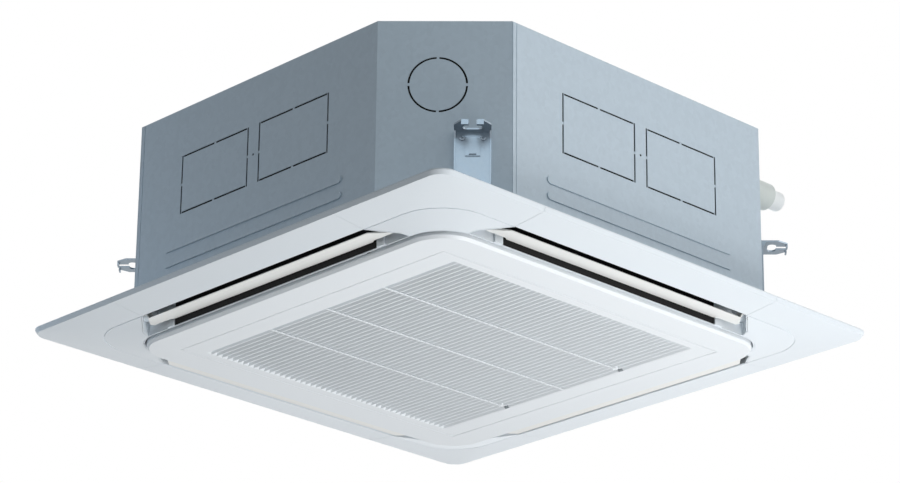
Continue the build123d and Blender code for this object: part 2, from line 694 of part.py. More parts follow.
def motor_window():
    """Room for one vane motor in the base plate."""
    half = VANE_MOTOR / 2 + LOOSE
    start = OUTLET_SHIFT + VANE_MOTOR_X
    return block(
        start, start + VANE_MOTOR_LENGTH + LOOSE,
        -VANE_HINGE_OUT - half, -VANE_HINGE_OUT + half, -BASE_PLATE, 0,
    )


def motor_holder():
    """Upright plate on the base plate that the vane motor is screwed to."""
    end = OUTLET_SHIFT + VANE_MOTOR_X
    half = VANE_MOTOR_EAR_WIDTH
    top = VANE_HINGE_Z + VANE_MOTOR_EAR / 2
    return block(
        end - COLLAR_WALL, end, -VANE_HINGE_OUT - half, -VANE_HINGE_OUT + half, -BASE_PLATE, top,
    )


def end_blocks():
    """Short ledges on the rim wall beside the foam, behind the narrow ends of the vane."""
    y = -RIM_HALF - RIM_WALL
    ledge = block(
        END_BLOCK_X, END_BLOCK_X + END_BLOCK_LENGTH, y - END_BLOCK, y,
        0.5 - BAND_DEPTH, -BASE_PLATE,
    )
    return Pos(OUTLET_SHIFT, 0, 0) * (ledge + mirror(ledge, Plane.YZ))


def grille_hook():
    """Arm on the front rim that carries one hinge pin of the grille."""
    eye = HOOK_EYE / 2
    y = -GRILLE_HINGE_OUT
    z = GRILLE_HINGE_Z
    top = GRILLE_TOP_Z + 2 * eye
    reach = 2 * eye
    path = [
        (y - 1, z - 1.5), (y + 1.5, z - 1.5), (y + reach + 3, z + reach - 1), (y + reach + 3, top),
        (-RIM_HALF - 1, top), (-RIM_HALF - 1, top - 3.5), (y + reach - 1, top - 3.5),
        (y + reach - 1, z + reach + 1),
    ]
    side = Plane(origin=(-HOOK_WIDTH / 2, 0, 0), x_dir=(0, 1, 0), z_dir=(1, 0, 0))
    arm = extrude(side * Polygon(*path, align=None), HOOK_WIDTH)
    arm += along_x(eye, -HOOK_WIDTH / 2, HOOK_WIDTH / 2, y, z)
    return arm - along_x(GRILLE_PIN / 2 + RUNNING, -HOOK_WIDTH, HOOK_WIDTH, y, z)


def panel_frame():
    """Moulded frame: ceiling flange, four side strips, outlet collars and suction rim."""
    frame = square_prism(PANEL_HALF, PANEL_CORNER, -BASE_PLATE, 0)
    skin = panel_skin()
    for quarter in range(4):
        skin -= turned(cover_space(-COVER_SEAM), quarter)
    frame += skin
    collar = raised(collar_plan(COLLAR_WALL), -BASE_PLATE, COLLAR_TOP_Z) + motor_holder()
    for quarter in range(4):
        frame += turned(collar, quarter)
        for x in (-2, -1, 0, 1, 2):
            rib_x = x * CHANNEL_HALF_LENGTH / 2.5
            rib = block(rib_x - 1, rib_x + 1, -LIP_HALF + 1, -SLOT_OUTER - 1, -PANEL_LIP, -1)
            frame += turned(rib, quarter)
    frame += square_prism(RIM_HALF + RIM_WALL, RIM_RADIUS + RIM_WALL, -BAND_DEPTH, COLLAR_TOP_Z)
    frame -= square_prism(RIM_HALF, RIM_RADIUS, -2 * BAND_DEPTH, 2 * COLLAR_TOP_Z)
    pin_hole = along_x(
        VANE_PIN / 2 + RUNNING, OUTLET_SHIFT - PIN_END_X - 1, OUTLET_SHIFT + VANE_MOTOR_X + 1,
        -VANE_HINGE_OUT, VANE_HINGE_Z,
    )
    cut = raised(collar_plan(), -BASE_PLATE - 1, COLLAR_TOP_Z) + motor_window() + pin_hole
    boss = upright(PANEL_BOSS / 2, -PANEL_SCREW_X, -PANEL_SCREW_OUT, -BASE_PLATE, CABINET_BASE_Z)
    bore = upright(PANEL_SCREW / 2 + LOOSE, -PANEL_SCREW_X, -PANEL_SCREW_OUT, -9, CABINET_BASE_Z)
    for quarter in range(4):
        frame -= turned(cut, quarter)
        frame += turned(boss, quarter)
        frame += turned(end_blocks(), quarter)
        frame -= turned(bore, quarter)
    for x in (-GRILLE_HINGE_X, GRILLE_HINGE_X):
        frame += Pos(x, 0, 0) * grille_hook()
    for x in (-LATCH_X, LATCH_X):
        frame -= latch_slot(x, RIM_HALF - 1, RIM_HALF + RIM_WALL + 1)
    return frame


def latch_slot(x, y0, y1):
    """Window for a latch tongue."""
    half = LATCH_WIDTH / 2 + LOOSE
    low = LATCH_ROD_Z - LOOSE
    return block(x - half, x + half, y0, y1, low, low + LATCH_ROD + 2 * LOOSE)


def cover_space(seam):
    """Space of the front right corner cover, seam away from the edges of the frame."""
    deep = -2 * BAND_DEPTH
    far = PANEL_HALF + 1
    x0 = OUTLET_SHIFT + OUTLET_HALF_LENGTH + seam
    y0 = OUTLET_HALF_LENGTH - OUTLET_SHIFT + seam
    space = block(x0, far, -far, -y0, deep, 1)
    recess = raised(outlet_plan(COLLAR_WALL + seam), deep, 1)
    space -= recess
    space -= turned(recess, 1)
    ring = RIM_HALF + RIM_WALL + seam
    return space - square_prism(ring, RIM_RADIUS + RIM_WALL + seam, deep, 1)


def corner_cover(quarter):
    """Removable cover of one panel corner, with posts under the base plate."""
    cover = panel_skin() & cover_space(COVER_SEAM)
    edge = PANEL_HALF - POST_EDGE
    past = OUTLET_HALF_LENGTH + POST_PAST
    corner = PANEL_HALF - POST_CORNER
    for x, y in ((past, -edge), (edge, -past), (corner, -corner)):
        cover += upright(COVER_POST / 2, x, y, POST_SINK - PANEL_LIP, -BASE_PLATE)
    along, across = POST_INSIDE
    cover += upright(
        COVER_POST / 2, PANEL_HALF - along, across - PANEL_HALF, POST_SINK - STEP_DEPTH, -BASE_PLATE,
    )
    return turned(cover, quarter)


def vane_plan(outer_y, inner_y):
    """Blade seen from below: slanted outer corners, narrower tips and curved shoulders."""
    tip = VANE_HALF_LENGTH
    wide = tip - VANE_SLANT
    tip_in = outer_y + VANE_SLANT + VANE_TIP_WIDTH
    plan = Polygon(
        (-wide, outer_y - 1), (wide, outer_y - 1), (wide, outer_y), (tip, outer_y + VANE_SLANT),
        (tip, inner_y + 1), (-tip, inner_y + 1), (-tip, outer_y + VANE_SLANT), (-wide, outer_y),
        align=None,
    )
    start = (VANE_NOTCH_X, tip_in)
    end = (VANE_NOTCH_X - VANE_NOTCH_RUN, inner_y + 2)
    shoulder = Spline(start, end, tangents=[(-1, 0), (-1, 0)])
    sides = Polyline(end, (tip + 1, end[1]), (tip + 1, tip_in), start)
    notch = make_face(shoulder + sides)
    return plan - notch - mirror(notch, Plane.YZ)


def vane(quarter):
    """Air vane, made as the front one: bowed blade, two arms and hinge pins."""
    tilt = math.radians(VANE_REST_TILT)
    outer_y = -(VANE_HINGE_OUT + VANE_EDGE_REACH)
    outer_z = VANE_HINGE_Z - VANE_EDGE_DROP
    inner_y = outer_y + VANE_CHORD * math.cos(tilt)
    inner_z = outer_z + VANE_CHORD * math.sin(tilt)
    mid_y = (outer_y + inner_y) / 2 - VANE_BULGE * math.sin(tilt)
    mid_z = (outer_z + inner_z) / 2 - VANE_BULGE * math.cos(tilt)
    up_y = VANE_THICKNESS * math.sin(tilt)
    up_z = VANE_THICKNESS * math.cos(tilt)
    under = ThreePointArc((outer_y, outer_z), (mid_y, mid_z), (inner_y, inner_z))
    top_in = (inner_y + up_y * 0.5, inner_z + up_z * 0.5)
    top_out = (outer_y + up_y * 0.5, outer_z + up_z * 0.5)
    mid_top = (mid_y + up_y * 1.4, mid_z + up_z * 1.4)
    upper = ThreePointArc(top_in, mid_top, top_out)
    closing = Line((inner_y, inner_z), top_in) + Line(top_out, (outer_y, outer_z))
    section = make_face(Plane.YZ * (under + upper + closing))
    blade = extrude(section, VANE_HALF_LENGTH, both=True)
    blade &= extrude(vane_plan(outer_y, inner_y), BAND_DEPTH, both=True)
    hinge_y = -VANE_HINGE_OUT
    arm = Pos(hinge_y, VANE_HINGE_Z) * Circle(VANE_HUB / 2)
    foot_radius = VANE_THICKNESS / 2
    for distance in VANE_ARM_FEET:
        foot_z = outer_z + distance * math.tan(tilt) + VANE_ARM_LIFT
        arm += Pos(outer_y + distance, foot_z) * Circle(foot_radius)
    arm = make_hull(arm.edges())
    for side in (-1, 1):
        plane = Plane(origin=(side * VANE_ARM_X, 0, 0), x_dir=(0, 1, 0), z_dir=(1, 0, 0))
        blade += extrude(plane * arm, -side * VANE_ARM)
    root = VANE_ARM_X - VANE_ARM
    drive_end = VANE_MOTOR_X + VANE_MOTOR_LENGTH / 2
    blade += along_x(VANE_PIN / 2, -PIN_END_X, -root, hinge_y, VANE_HINGE_Z)
    blade += along_x(VANE_PIN / 2, root, drive_end, hinge_y, VANE_HINGE_Z)
    return turned(Pos(OUTLET_SHIFT, 0, 0) * blade, quarter)


def vane_motor(quarter):
    """Small stepping motor screwed to its holder by one ear."""
    y = -VANE_HINGE_OUT
    z = VANE_HINGE_Z
    start = OUTLET_SHIFT + VANE_MOTOR_X
    body = along_x(VANE_MOTOR / 2, start, start + VANE_MOTOR_LENGTH, y, z)
    half = VANE_MOTOR_EAR_WIDTH / 2
    body += block(start, start + 1.5, y - half, y + half, z, z + VANE_MOTOR_EAR / 2)
    body -= along_x(VANE_PIN / 2 + RUNNING, start - 1, start + VANE_MOTOR_LENGTH / 2 + 1, y, z)
    return turned(body, quarter)


def air_channel(z0, z1):
    """Air way of the front outlet through the foam of seal and drain pan."""
    half = CHANNEL_HALF_LENGTH
    channel = block(-half, half, -CHANNEL_OUTER, -CHANNEL_INNER, z0, z1)
    return Pos(OUTLET_SHIFT, 0, 0) * channel


def panel_seal():
    """Foam between the outlet collars and the drain pan, and the foam skin on the rim wall."""
    outline = collar_plan(COLLAR_WALL)
    inside = Pos(0, CABINET_HALF - CHANNEL_OUTER - COLLAR_WALL) * Rectangle(CABINET_SIDE, CABINET_SIDE)
    low = raised(outline, COLLAR_TOP_Z, CABINET_BASE_Z)
    high = raised(outline & inside, CABINET_BASE_Z, PAN_BOTTOM_Z)
    rim = -RIM_HALF - RIM_WALL
    strip = block(
        -END_BLOCK_X, END_BLOCK_X, rim - RIM_FOAM, rim, 1.5 - BAND_DEPTH, COLLAR_TOP_Z,
    )
    side = low + high - air_channel(COLLAR_TOP_Z, PAN_BOTTOM_Z) + Pos(OUTLET_SHIFT, 0, 0) * strip
    seal = square_prism(CHANNEL_INNER, RIM_RADIUS + RIM_STRIP, COLLAR_TOP_Z, PAN_BOTTOM_Z)
    for quarter in range(4):
        seal += turned(side, quarter)
    for x in (-LATCH_X, LATCH_X):
        seal -= latch_slot(x, RIM_HALF + RIM_WALL - 1, RIM_HALF + RIM_WALL + RIM_FOAM + 1)
    return seal - square_prism(RIM_HALF, RIM_RADIUS, COLLAR_TOP_Z, PAN_BOTTOM_Z)


# ---- grille and filter ---------------------------------------------------------------------


def grille_shell():
    """Shallow tray with a bevelled edge and the sloping ends of the slat field."""
    face = rounded_square(GRILLE_HALF - 4, GRILLE_RADIUS - 4, GRILLE_FACE_Z)
    edge = rounded_square(GRILLE_HALF, GRILLE_RADIUS, GRILLE_FACE_Z + GRILLE_EDGE)
    shell = loft([face, edge], ruled=True)
    shell += square_prism(GRILLE_HALF, GRILLE_RADIUS, GRILLE_FACE_Z + GRILLE_EDGE, GRILLE_TOP_Z)
    inner = GRILLE_HALF - GRILLE_WALL
    inner_radius = GRILLE_RADIUS - GRILLE_WALL
    shell -= square_prism(inner, inner_radius, GRILLE_FACE_Z + GRILLE_EDGE + 1, GRILLE_TOP_Z)
    shell -= square_prism(inner - 4, inner_radius - 4, GRILLE_INSIDE_Z, GRILLE_TOP_Z)
    shell -= block(
        -FIELD_HALF_X, FIELD_HALF_X, -FIELD_HALF_Y, FIELD_HALF_Y, GRILLE_FACE_Z, GRILLE_TOP_Z,
    )
    groove = Rectangle(2 * GRILLE_GROOVE_HALF, 2 * GRILLE_GROOVE_HALF)
    groove -= Rectangle(2 * (GRILLE_GROOVE_HALF - GRILLE_GROOVE), 2 * (GRILLE_GROOVE_HALF - GRILLE_GROOVE))
    shell -= extrude(Pos(0, 0, GRILLE_FACE_Z) * groove, GRILLE_GROOVE)
    for side in (-1, 1):
        foot = side * FIELD_HALF_X
        head = side * (FIELD_HALF_X - FIELD_END_SLOPE)
        wall = [
            (foot, GRILLE_FACE_Z), (foot + side * GRILLE_PLATE, GRILLE_FACE_Z),
            (foot + side * GRILLE_PLATE, GRILLE_INSIDE_Z), (head + side * 3, bar_top_z()),
            (head, bar_top_z()),
        ]
        shell += extrude(Plane.XZ * Polygon(*wall, align=None), FIELD_HALF_Y, both=True)
    for side in (-1, 1):
        edge_y = side * FIELD_HALF_Y
        out_y = edge_y + side * GRILLE_PLATE
        shell += block(
            -FIELD_HALF_X, FIELD_HALF_X, min(edge_y, out_y), max(edge_y, out_y),
            GRILLE_FACE_Z, bar_top_z(),
        )
    return shell


def bar_top_z():
    return GRILLE_FACE_Z + BAR_TOP


def slats():
    """Row of sloping slats between the ends of the field, on three cross bars."""
    top = GRILLE_FACE_Z + SLAT_RISE
    outline = [
        (0, GRILLE_FACE_Z), (SLAT_THICKNESS, GRILLE_FACE_Z),
        (SLAT_THICKNESS - SLAT_RISE, top), (-SLAT_RISE, top),
    ]
    run = FIELD_END_SLOPE * SLAT_RISE / BAR_TOP
    plan = [
        (-FIELD_HALF_X, GRILLE_FACE_Z), (FIELD_HALF_X, GRILLE_FACE_Z),
        (FIELD_HALF_X - run, top), (-FIELD_HALF_X + run, top),
    ]
    first = -SLAT_PITCH * (SLAT_COUNT - 1) / 2 + (SLAT_RISE - SLAT_THICKNESS) / 2
    blade = extrude(Plane.YZ * Polygon(*outline, align=None), FIELD_HALF_X, both=True)
    blade &= extrude(Plane.XZ * Polygon(*plan, align=None), 2 * SLAT_RISE, both=True)
    return [Pos(0, first + index * SLAT_PITCH, 0) * blade for index in range(SLAT_COUNT)]


def intake_grille():
    """Hinged louvred grille with hinge cheeks at the front and latch guides at the back."""
    bars = []
    for index in (-1, 0, 1):
        x = index * BAR_PITCH
        bars.append(block(
            x - BAR_WIDTH / 2, x + BAR_WIDTH / 2, -FIELD_HALF_Y, FIELD_HALF_Y,
            GRILLE_FACE_Z + BAR_BOTTOM, bar_top_z(),
        ))
    grille = grille_shell().fuse(*bars, *slats())
    cheek_gap = HOOK_WIDTH / 2 + 0.5
    for x in (-GRILLE_HINGE_X, GRILLE_HINGE_X):
        y = -GRILLE_HINGE_OUT
        notch = HOOK_WIDTH / 2 + GRILLE_WALL
        grille -= block(x - notch, x + notch, -GRILLE_HALF - 1, y, GRILLE_HINGE_Z + 2, GRILLE_TOP_Z)
        pocket = HOOK_EYE / 2 + LOOSE
        grille -= along_x(pocket, x - cheek_gap, x + cheek_gap, y, GRILLE_HINGE_Z)
        for side in (-1, 1):
            near = x + side * cheek_gap
            far = near + side * GRILLE_PLATE
            low = GRILLE_INSIDE_Z - 0.5
            grille += block(min(near, far), max(near, far), y - 4, y + 4, low, GRILLE_HINGE_Z + 4)
        pin_half = cheek_gap + GRILLE_PLATE
        grille += along_x(GRILLE_PIN / 2, x - pin_half, x + pin_half, y, GRILLE_HINGE_Z)
    for x in (-LATCH_X, LATCH_X):
        grille -= latch_slot(x, FIELD_HALF_Y - 1, GRILLE_HALF + 1)
        grille -= knob_window(x)
        grille += latch_guide(x)
    return grille


def knob_window(x):
    """Room in the slats and the cross bar for the latch knob and its travel."""
    half = LATCH_WIDTH / 2 + LOOSE
    inner = LATCH_KNOB_OUT - LATCH_KNOB_LENGTH / 2 - LOOSE
    return block(x - half, x + half, inner, FIELD_HALF_Y, GRILLE_FACE_Z - 1, GRILLE_TOP_Z)


def latch_guide(x):
    """Low bridge over the latch rod behind the face."""
    half = LATCH_WIDTH / 2 + LOOSE
    y0 = (LATCH_KNOB_OUT + RIM_HALF) / 2
    top = LATCH_ROD_Z + LATCH_ROD + LOOSE
    bridge = block(x - half - 2, x + half + 2, y0, y0 + 12, GRILLE_INSIDE_Z - 0.5, top + 2)
    return bridge - block(x - half, x + half, y0, y0 + 12, LATCH_ROD_Z - LOOSE, top)


def latch(x):
    """Sliding catch, drawn back: a finger knob between the slats and a tongue for the rim."""
    half = LATCH_WIDTH / 2
    inner = LATCH_KNOB_OUT - LATCH_KNOB_LENGTH / 2
    outer = LATCH_KNOB_OUT + LATCH_KNOB_LENGTH / 2
    tip = RIM_HALF - LATCH_BACK
    top = LATCH_ROD_Z + LATCH_ROD
    side = Plane.YZ * Polygon(
        (inner, GRILLE_FACE_Z + 1), (outer - LATCH_TRAVEL / 2, GRILLE_FACE_Z + 1),
        (outer, LATCH_ROD_Z), (tip - LATCH_ROD, LATCH_ROD_Z), (tip, LATCH_ROD_Z + LATCH_ROD / 2),
        (tip, top), (inner, top), align=None,
    )
    return Pos(x, 0, 0) * extrude(side, half, both=True)


def air_filter():
    """Washable filter: frame, ribs and a thin mesh sheet, lying on the cross bars."""
    z0 = bar_top_z()
    z1 = z0 + FILTER_THICKNESS
    outer = block(-FILTER_HALF_X, FILTER_HALF_X, -FILTER_HALF_Y, FILTER_HALF_Y, z0, z1)
    in_x = FILTER_HALF_X - FILTER_FRAME
    in_y = FILTER_HALF_Y - FILTER_FRAME
    frame = outer - block(-in_x, in_x, -in_y, in_y, z0, z1)
    ribs = []
    for index in range(1, FILTER_BAYS):
        x = -in_x + index * 2 * in_x / FILTER_BAYS
        y = -in_y + index * 2 * in_y / FILTER_BAYS
        ribs.append(block(x - FILTER_RIB / 2, x + FILTER_RIB / 2, -in_y, in_y, z0, z1))
        ribs.append(block(-in_x, in_x, y - FILTER_RIB / 2, y + FILTER_RIB / 2, z0, z1))
    mid = (z0 + z1) / 2
    mesh = block(-in_x, in_x, -in_y, in_y, mid - FILTER_MESH / 2, mid + FILTER_MESH / 2)
    whole = frame.fuse(*ribs, mesh)
    for x in (-LATCH_X, LATCH_X):
        half = LATCH_WIDTH
        whole -= block(x - half, x + half, FIELD_HALF_Y - 40, FILTER_HALF_Y + 1, z0, z1)
    return whole


# ---- fan -----------------------------------------------------------------------------------


def revolved(points):
    """Turn a closed outline of radius and height pairs about Z."""
    return revolve(Plane.XZ * Polygon(*points, align=None), Axis.Z)


def shroud_curve(radius):
    """Height of the shroud's upper face over the radius."""
    part = (FAN_RADIUS - radius) / (FAN_RADIUS - FAN_NECK)
    return SHROUD_EDGE_Z - (SHROUD_EDGE_Z - FAN_NECK_Z - 10) * part ** 2


def fan_shroud():
    """Curved ring under the blades with the inlet neck."""
    steps = [FAN_RADIUS - (FAN_RADIUS - FAN_NECK) * index / 3 for index in range(4)]
    upper = Spline(*[(radius, shroud_curve(radius)) for radius in steps])
    lower = Spline(*[(radius, shroud_curve(radius) - FAN_PLATE) for radius in steps])
    outer_edge = Line((FAN_RADIUS, SHROUD_EDGE_Z), (FAN_RADIUS, SHROUD_EDGE_Z - FAN_PLATE))
    neck_top = (FAN_NECK, shroud_curve(FAN_NECK))
    neck_low = (FAN_NECK, shroud_curve(FAN_NECK) - FAN_PLATE)
    profile = make_face(Plane.XZ * (upper + lower + outer_edge + Line(neck_top, neck_low)))
    ring = revolve(profile, Axis.Z)
    neck_end = shroud_curve(FAN_NECK) - 0.2
    neck = [
        (FAN_NECK, FAN_NECK_Z), (FAN_NECK + FAN_PLATE, FAN_NECK_Z),
        (FAN_NECK + FAN_PLATE, neck_end), (FAN_NECK, neck_end),
    ]
    return ring + revolved(neck)


def fan_hub():
    """Hub plate with the dished middle that wraps round the motor, and the shaft boss."""
    top = FAN_HUB_Z + FAN_PLATE
    floor = CONE_FLOOR_Z
    boss = FAN_BOSS / 2
    bore = SHAFT / 2 + RUNNING
    points = [
        (bore, floor - FAN_BOSS_LENGTH / 3), (boss, floor - FAN_BOSS_LENGTH / 3), (boss, floor),
        (FAN_CONE_BOTTOM, floor), (FAN_CONE_TOP, FAN_HUB_Z), (FAN_RADIUS, FAN_HUB_Z),
        (FAN_RADIUS, top), (FAN_CONE_TOP - FAN_PLATE, top),
        (FAN_CONE_BOTTOM - FAN_PLATE, floor + FAN_PLATE), (boss, floor + FAN_PLATE),
        (boss, floor + FAN_BOSS_LENGTH * 2 / 3), (bore, floor + FAN_BOSS_LENGTH * 2 / 3),
    ]
    return revolved(points)


def blade_section(z, lead_radius, turn):
    """Crescent section of a backward-swept blade at one height."""
    def at(radius, part, offset):
        angle = math.radians(turn + BLADE_SWEEP * part ** 0.85)
        tangent = angle + math.radians(90)
        return (
            radius * math.cos(angle) + offset * math.cos(tangent),
            radius * math.sin(angle) + offset * math.sin(tangent),
        )
    parts = (0.0, 0.3, 0.65, 1.0)
    bulge = (0.25, 1.0, 0.75, 0.2)
    outlet = FAN_RADIUS - 1.5
    radii = [lead_radius + (outlet - lead_radius) * part for part in parts]
    half = BLADE_THICKNESS / 2
    front = [at(r, p, half * b) for r, p, b in zip(radii, parts, bulge)]
    rear = [at(r, p, -half * b) for r, p, b in zip(radii, parts, bulge)]
    outline = Spline(*front) + Spline(*rear) + Line(front[0], rear[0]) + Line(front[-1], rear[-1])
    return make_face(Plane(origin=(0, 0, z)) * outline)


def fan_blade():
    """Twisted blade between the hub plate and the shroud."""
    low = blade_section(FAN_NECK_Z + 4, BLADE_LEAD + 26, -BLADE_TWIST)
    middle = blade_section((FAN_NECK_Z + FAN_HUB_Z) / 2, BLADE_LEAD + 10, -BLADE_TWIST / 3)
    high = blade_section(FAN_HUB_Z + FAN_PLATE / 2, BLADE_LEAD, 0)
    blade = loft([low, middle, high])
    below = [(0, 0), (FAN_RADIUS + 5, 0)]
    radii = [FAN_RADIUS + 5, FAN_RADIUS, 212, 190, FAN_NECK]
    curve = [(r, shroud_curve(min(r, FAN_RADIUS)) - FAN_PLATE / 2) for r in radii]
    blade -= revolved(below + curve + [(FAN_NECK, 0)])
    return blade - upright(FAN_NECK, 0, 0, 0, MOUTH_TOP_Z + INLET_GAP)


def turbofan():
    """One-piece moulded impeller with seven twisted blades."""
    blade = fan_blade()
    blades = [Rot(0, 0, 360 / FAN_BLADES * index) * blade for index in range(FAN_BLADES)]
    return fan_hub().fuse(fan_shroud(), *blades)


def motor_shaft():
    return upright(SHAFT / 2, 0, 0, SHAFT_BOTTOM_Z, SHAFT_TOP_Z)


def fan_nut():
    """Hexagon nut with its washer under the fan's boss."""
    top = CONE_FLOOR_Z - FAN_BOSS_LENGTH / 3
    washer = upright(SHAFT, 0, 0, top - 2, top)
    hexagon = Pos(0, 0, top - 2 - SHAFT * 0.8) * RegularPolygon(SHAFT * 0.85, 6, major_radius=False)
    nut = washer + extrude(hexagon, SHAFT * 0.8)
    return nut - upright(SHAFT / 2 + RUNNING, 0, 0, 0, top)


def fan_motor():
    """Flat outside body, bearing nose and a plate with four ears."""
    flange_top = MOTOR_FLANGE_Z + MOTOR_FLANGE
    plate = Circle(MOTOR_RADIUS + 4)
    for x, y in stud_places():
        plate += Pos(x, y) * Circle(MOTOR_STUD * 2)
        arm = Rectangle(MOTOR_STUD_RADIUS, MOTOR_STUD * 4)
        plate += Rot(0, 0, math.degrees(math.atan2(y, x))) * Pos(MOTOR_STUD_RADIUS / 2, 0) * arm
    for x, y in stud_places():
        plate -= Pos(x, y) * Circle(MOTOR_STUD / 2 + LOOSE)
    motor = extrude(Pos(0, 0, MOTOR_FLANGE_Z) * plate, MOTOR_FLANGE)
    soft = 8.0
    motor += revolved([
        (0, MOTOR_BOTTOM_Z - MOTOR_NOSE_LENGTH), (MOTOR_NOSE, MOTOR_BOTTOM_Z - MOTOR_NOSE_LENGTH),
        (MOTOR_NOSE, MOTOR_BOTTOM_Z), (MOTOR_RADIUS - soft, MOTOR_BOTTOM_Z),
        (MOTOR_RADIUS, MOTOR_BOTTOM_Z + soft), (MOTOR_RADIUS, flange_top), (0, flange_top),
    ])
    nose_z = MOTOR_BOTTOM_Z - MOTOR_NOSE_LENGTH
    return motor - upright(SHAFT / 2 + RUNNING, 0, 0, nose_z - 1, SHAFT_TOP_Z + 1)


def motor_mounts():
    """Four rubber bushes between the motor's ears and the lid."""
    bushes = []
    for x, y in stud_places():
        bush = upright(BUSH / 2, x, y, PLATE_UNDER_Z - BUSH_LENGTH, PLATE_UNDER_Z)
        bushes.append(bush - upright(MOTOR_STUD / 2 + LOOSE, x, y, 0, CABINET_TOP_Z))
    return bushes


def motor_nuts():
    """Four nuts on the studs under the motor's ears."""
    nuts = []
    for x, y in stud_places():
        hexagon = RegularPolygon(MOTOR_STUD * 0.83, 6, major_radius=False)
        nut = extrude(Pos(x, y, MOTOR_FLANGE_Z - NUT_HEIGHT) * hexagon, NUT_HEIGHT)
        nuts.append(nut - upright(MOTOR_STUD / 2 + RUNNING, x, y, 0, CABINET_TOP_Z))
    return nuts


def bell_mouth():
    """Inlet ring: flat flange and a rounded mouth that leads into the fan's neck."""
    centre = THROAT_RADIUS + MOUTH_CURVE
    inner = MOUTH_CURVE - MOUTH_WALL
    flange_top = MOUTH_FLANGE_Z + MOUTH_WALL
    cos45 = math.cos(math.radians(45))
    face = ThreePointArc(
        (centre, MOUTH_FLANGE_Z),
        (centre - MOUTH_CURVE * cos45, MOUTH_TOP_Z - MOUTH_CURVE * cos45),
        (THROAT_RADIUS, MOUTH_TOP_Z),
    )
    back = ThreePointArc(
        (centre, flange_top),
        (centre - inner * cos45, MOUTH_TOP_Z - inner * cos45),
        (THROAT_RADIUS + MOUTH_WALL, MOUTH_TOP_Z),
    )
    rim = Line((THROAT_RADIUS, MOUTH_TOP_Z), (THROAT_RADIUS + MOUTH_WALL, MOUTH_TOP_Z))
    low = Line((centre, MOUTH_FLANGE_Z), (MOUTH_FLANGE_RADIUS, MOUTH_FLANGE_Z))
    side = Line((MOUTH_FLANGE_RADIUS, MOUTH_FLANGE_Z), (MOUTH_FLANGE_RADIUS, flange_top))
    high = Line((MOUTH_FLANGE_RADIUS, flange_top), (centre, flange_top))
    return revolve(make_face(Plane.XZ * (face + back + rim + low + side + high)), Axis.Z)


# ---- coil, pan and insulation --------------------------------------------------------------


def coil_gap(z0, z1):
    """The open corner of the coil, where pipes and pump stand."""
    return block(COIL_END_BACK, CABINET_HALF, COIL_END_RIGHT, CABINET_HALF, z0, z1)


def coil_fins():
    """Fin pack bent round the fan on three corners."""
    pack = square_prism(COIL_OUTER, COIL_RADIUS, COIL_BOTTOM_Z, COIL_TOP_Z)
    pack -= square_prism(COIL_INNER, COIL_RADIUS - COIL_DEPTH, COIL_BOTTOM_Z, COIL_TOP_Z)
    return pack - coil_gap(COIL_BOTTOM_Z, COIL_TOP_Z)


def coil_end_plates():
    """Galvanised plates on the two ends of the fin pack."""
    inner = COIL_INNER - END_PLATE_MARGIN
    outer = COIL_OUTER + END_PLATE_MARGIN
    right = block(
        inner, outer, COIL_END_RIGHT, COIL_END_RIGHT + END_PLATE, COIL_BOTTOM_Z, COIL_TOP_Z,
    )
    back = block(COIL_END_BACK, COIL_END_BACK + END_PLATE, inner, outer, COIL_BOTTOM_Z, COIL_TOP_Z)
    return [right, back]


def return_bend(across):
    """Half ring of copper tube standing on a coil end, open towards -Y."""
    radius = across / 2
    path = ThreePointArc((0, 0, -radius), (0, radius, 0), (0, 0, radius))
    section = Plane(origin=(0, 0, -radius), z_dir=(0, 1, 0)) * Circle(TUBE / 2)
    return sweep(section, path=path)


def coil_tubes():
    """Return bends of both rows at both coil ends."""
    bends = []
    bend = return_bend(TUBE_PITCH)
    middle = (COIL_INNER + COIL_OUTER) / 2
    rows = (middle - TUBE_ROW_PITCH / 2, middle + TUBE_ROW_PITCH / 2)
    first = COIL_BOTTOM_Z + TUBE_PITCH
    for index in range(TUBE_BENDS):
        z = first + TUBE_PITCH / 2 + index * 2 * TUBE_PITCH
        for row in rows:
            bends.append(Pos(row, COIL_END_RIGHT + END_PLATE, z) * bend)
            turned_bend = Rot(0, 0, -90) * bend
            bends.append(Pos(COIL_END_BACK + END_PLATE, row, z) * turned_bend)
    return bends


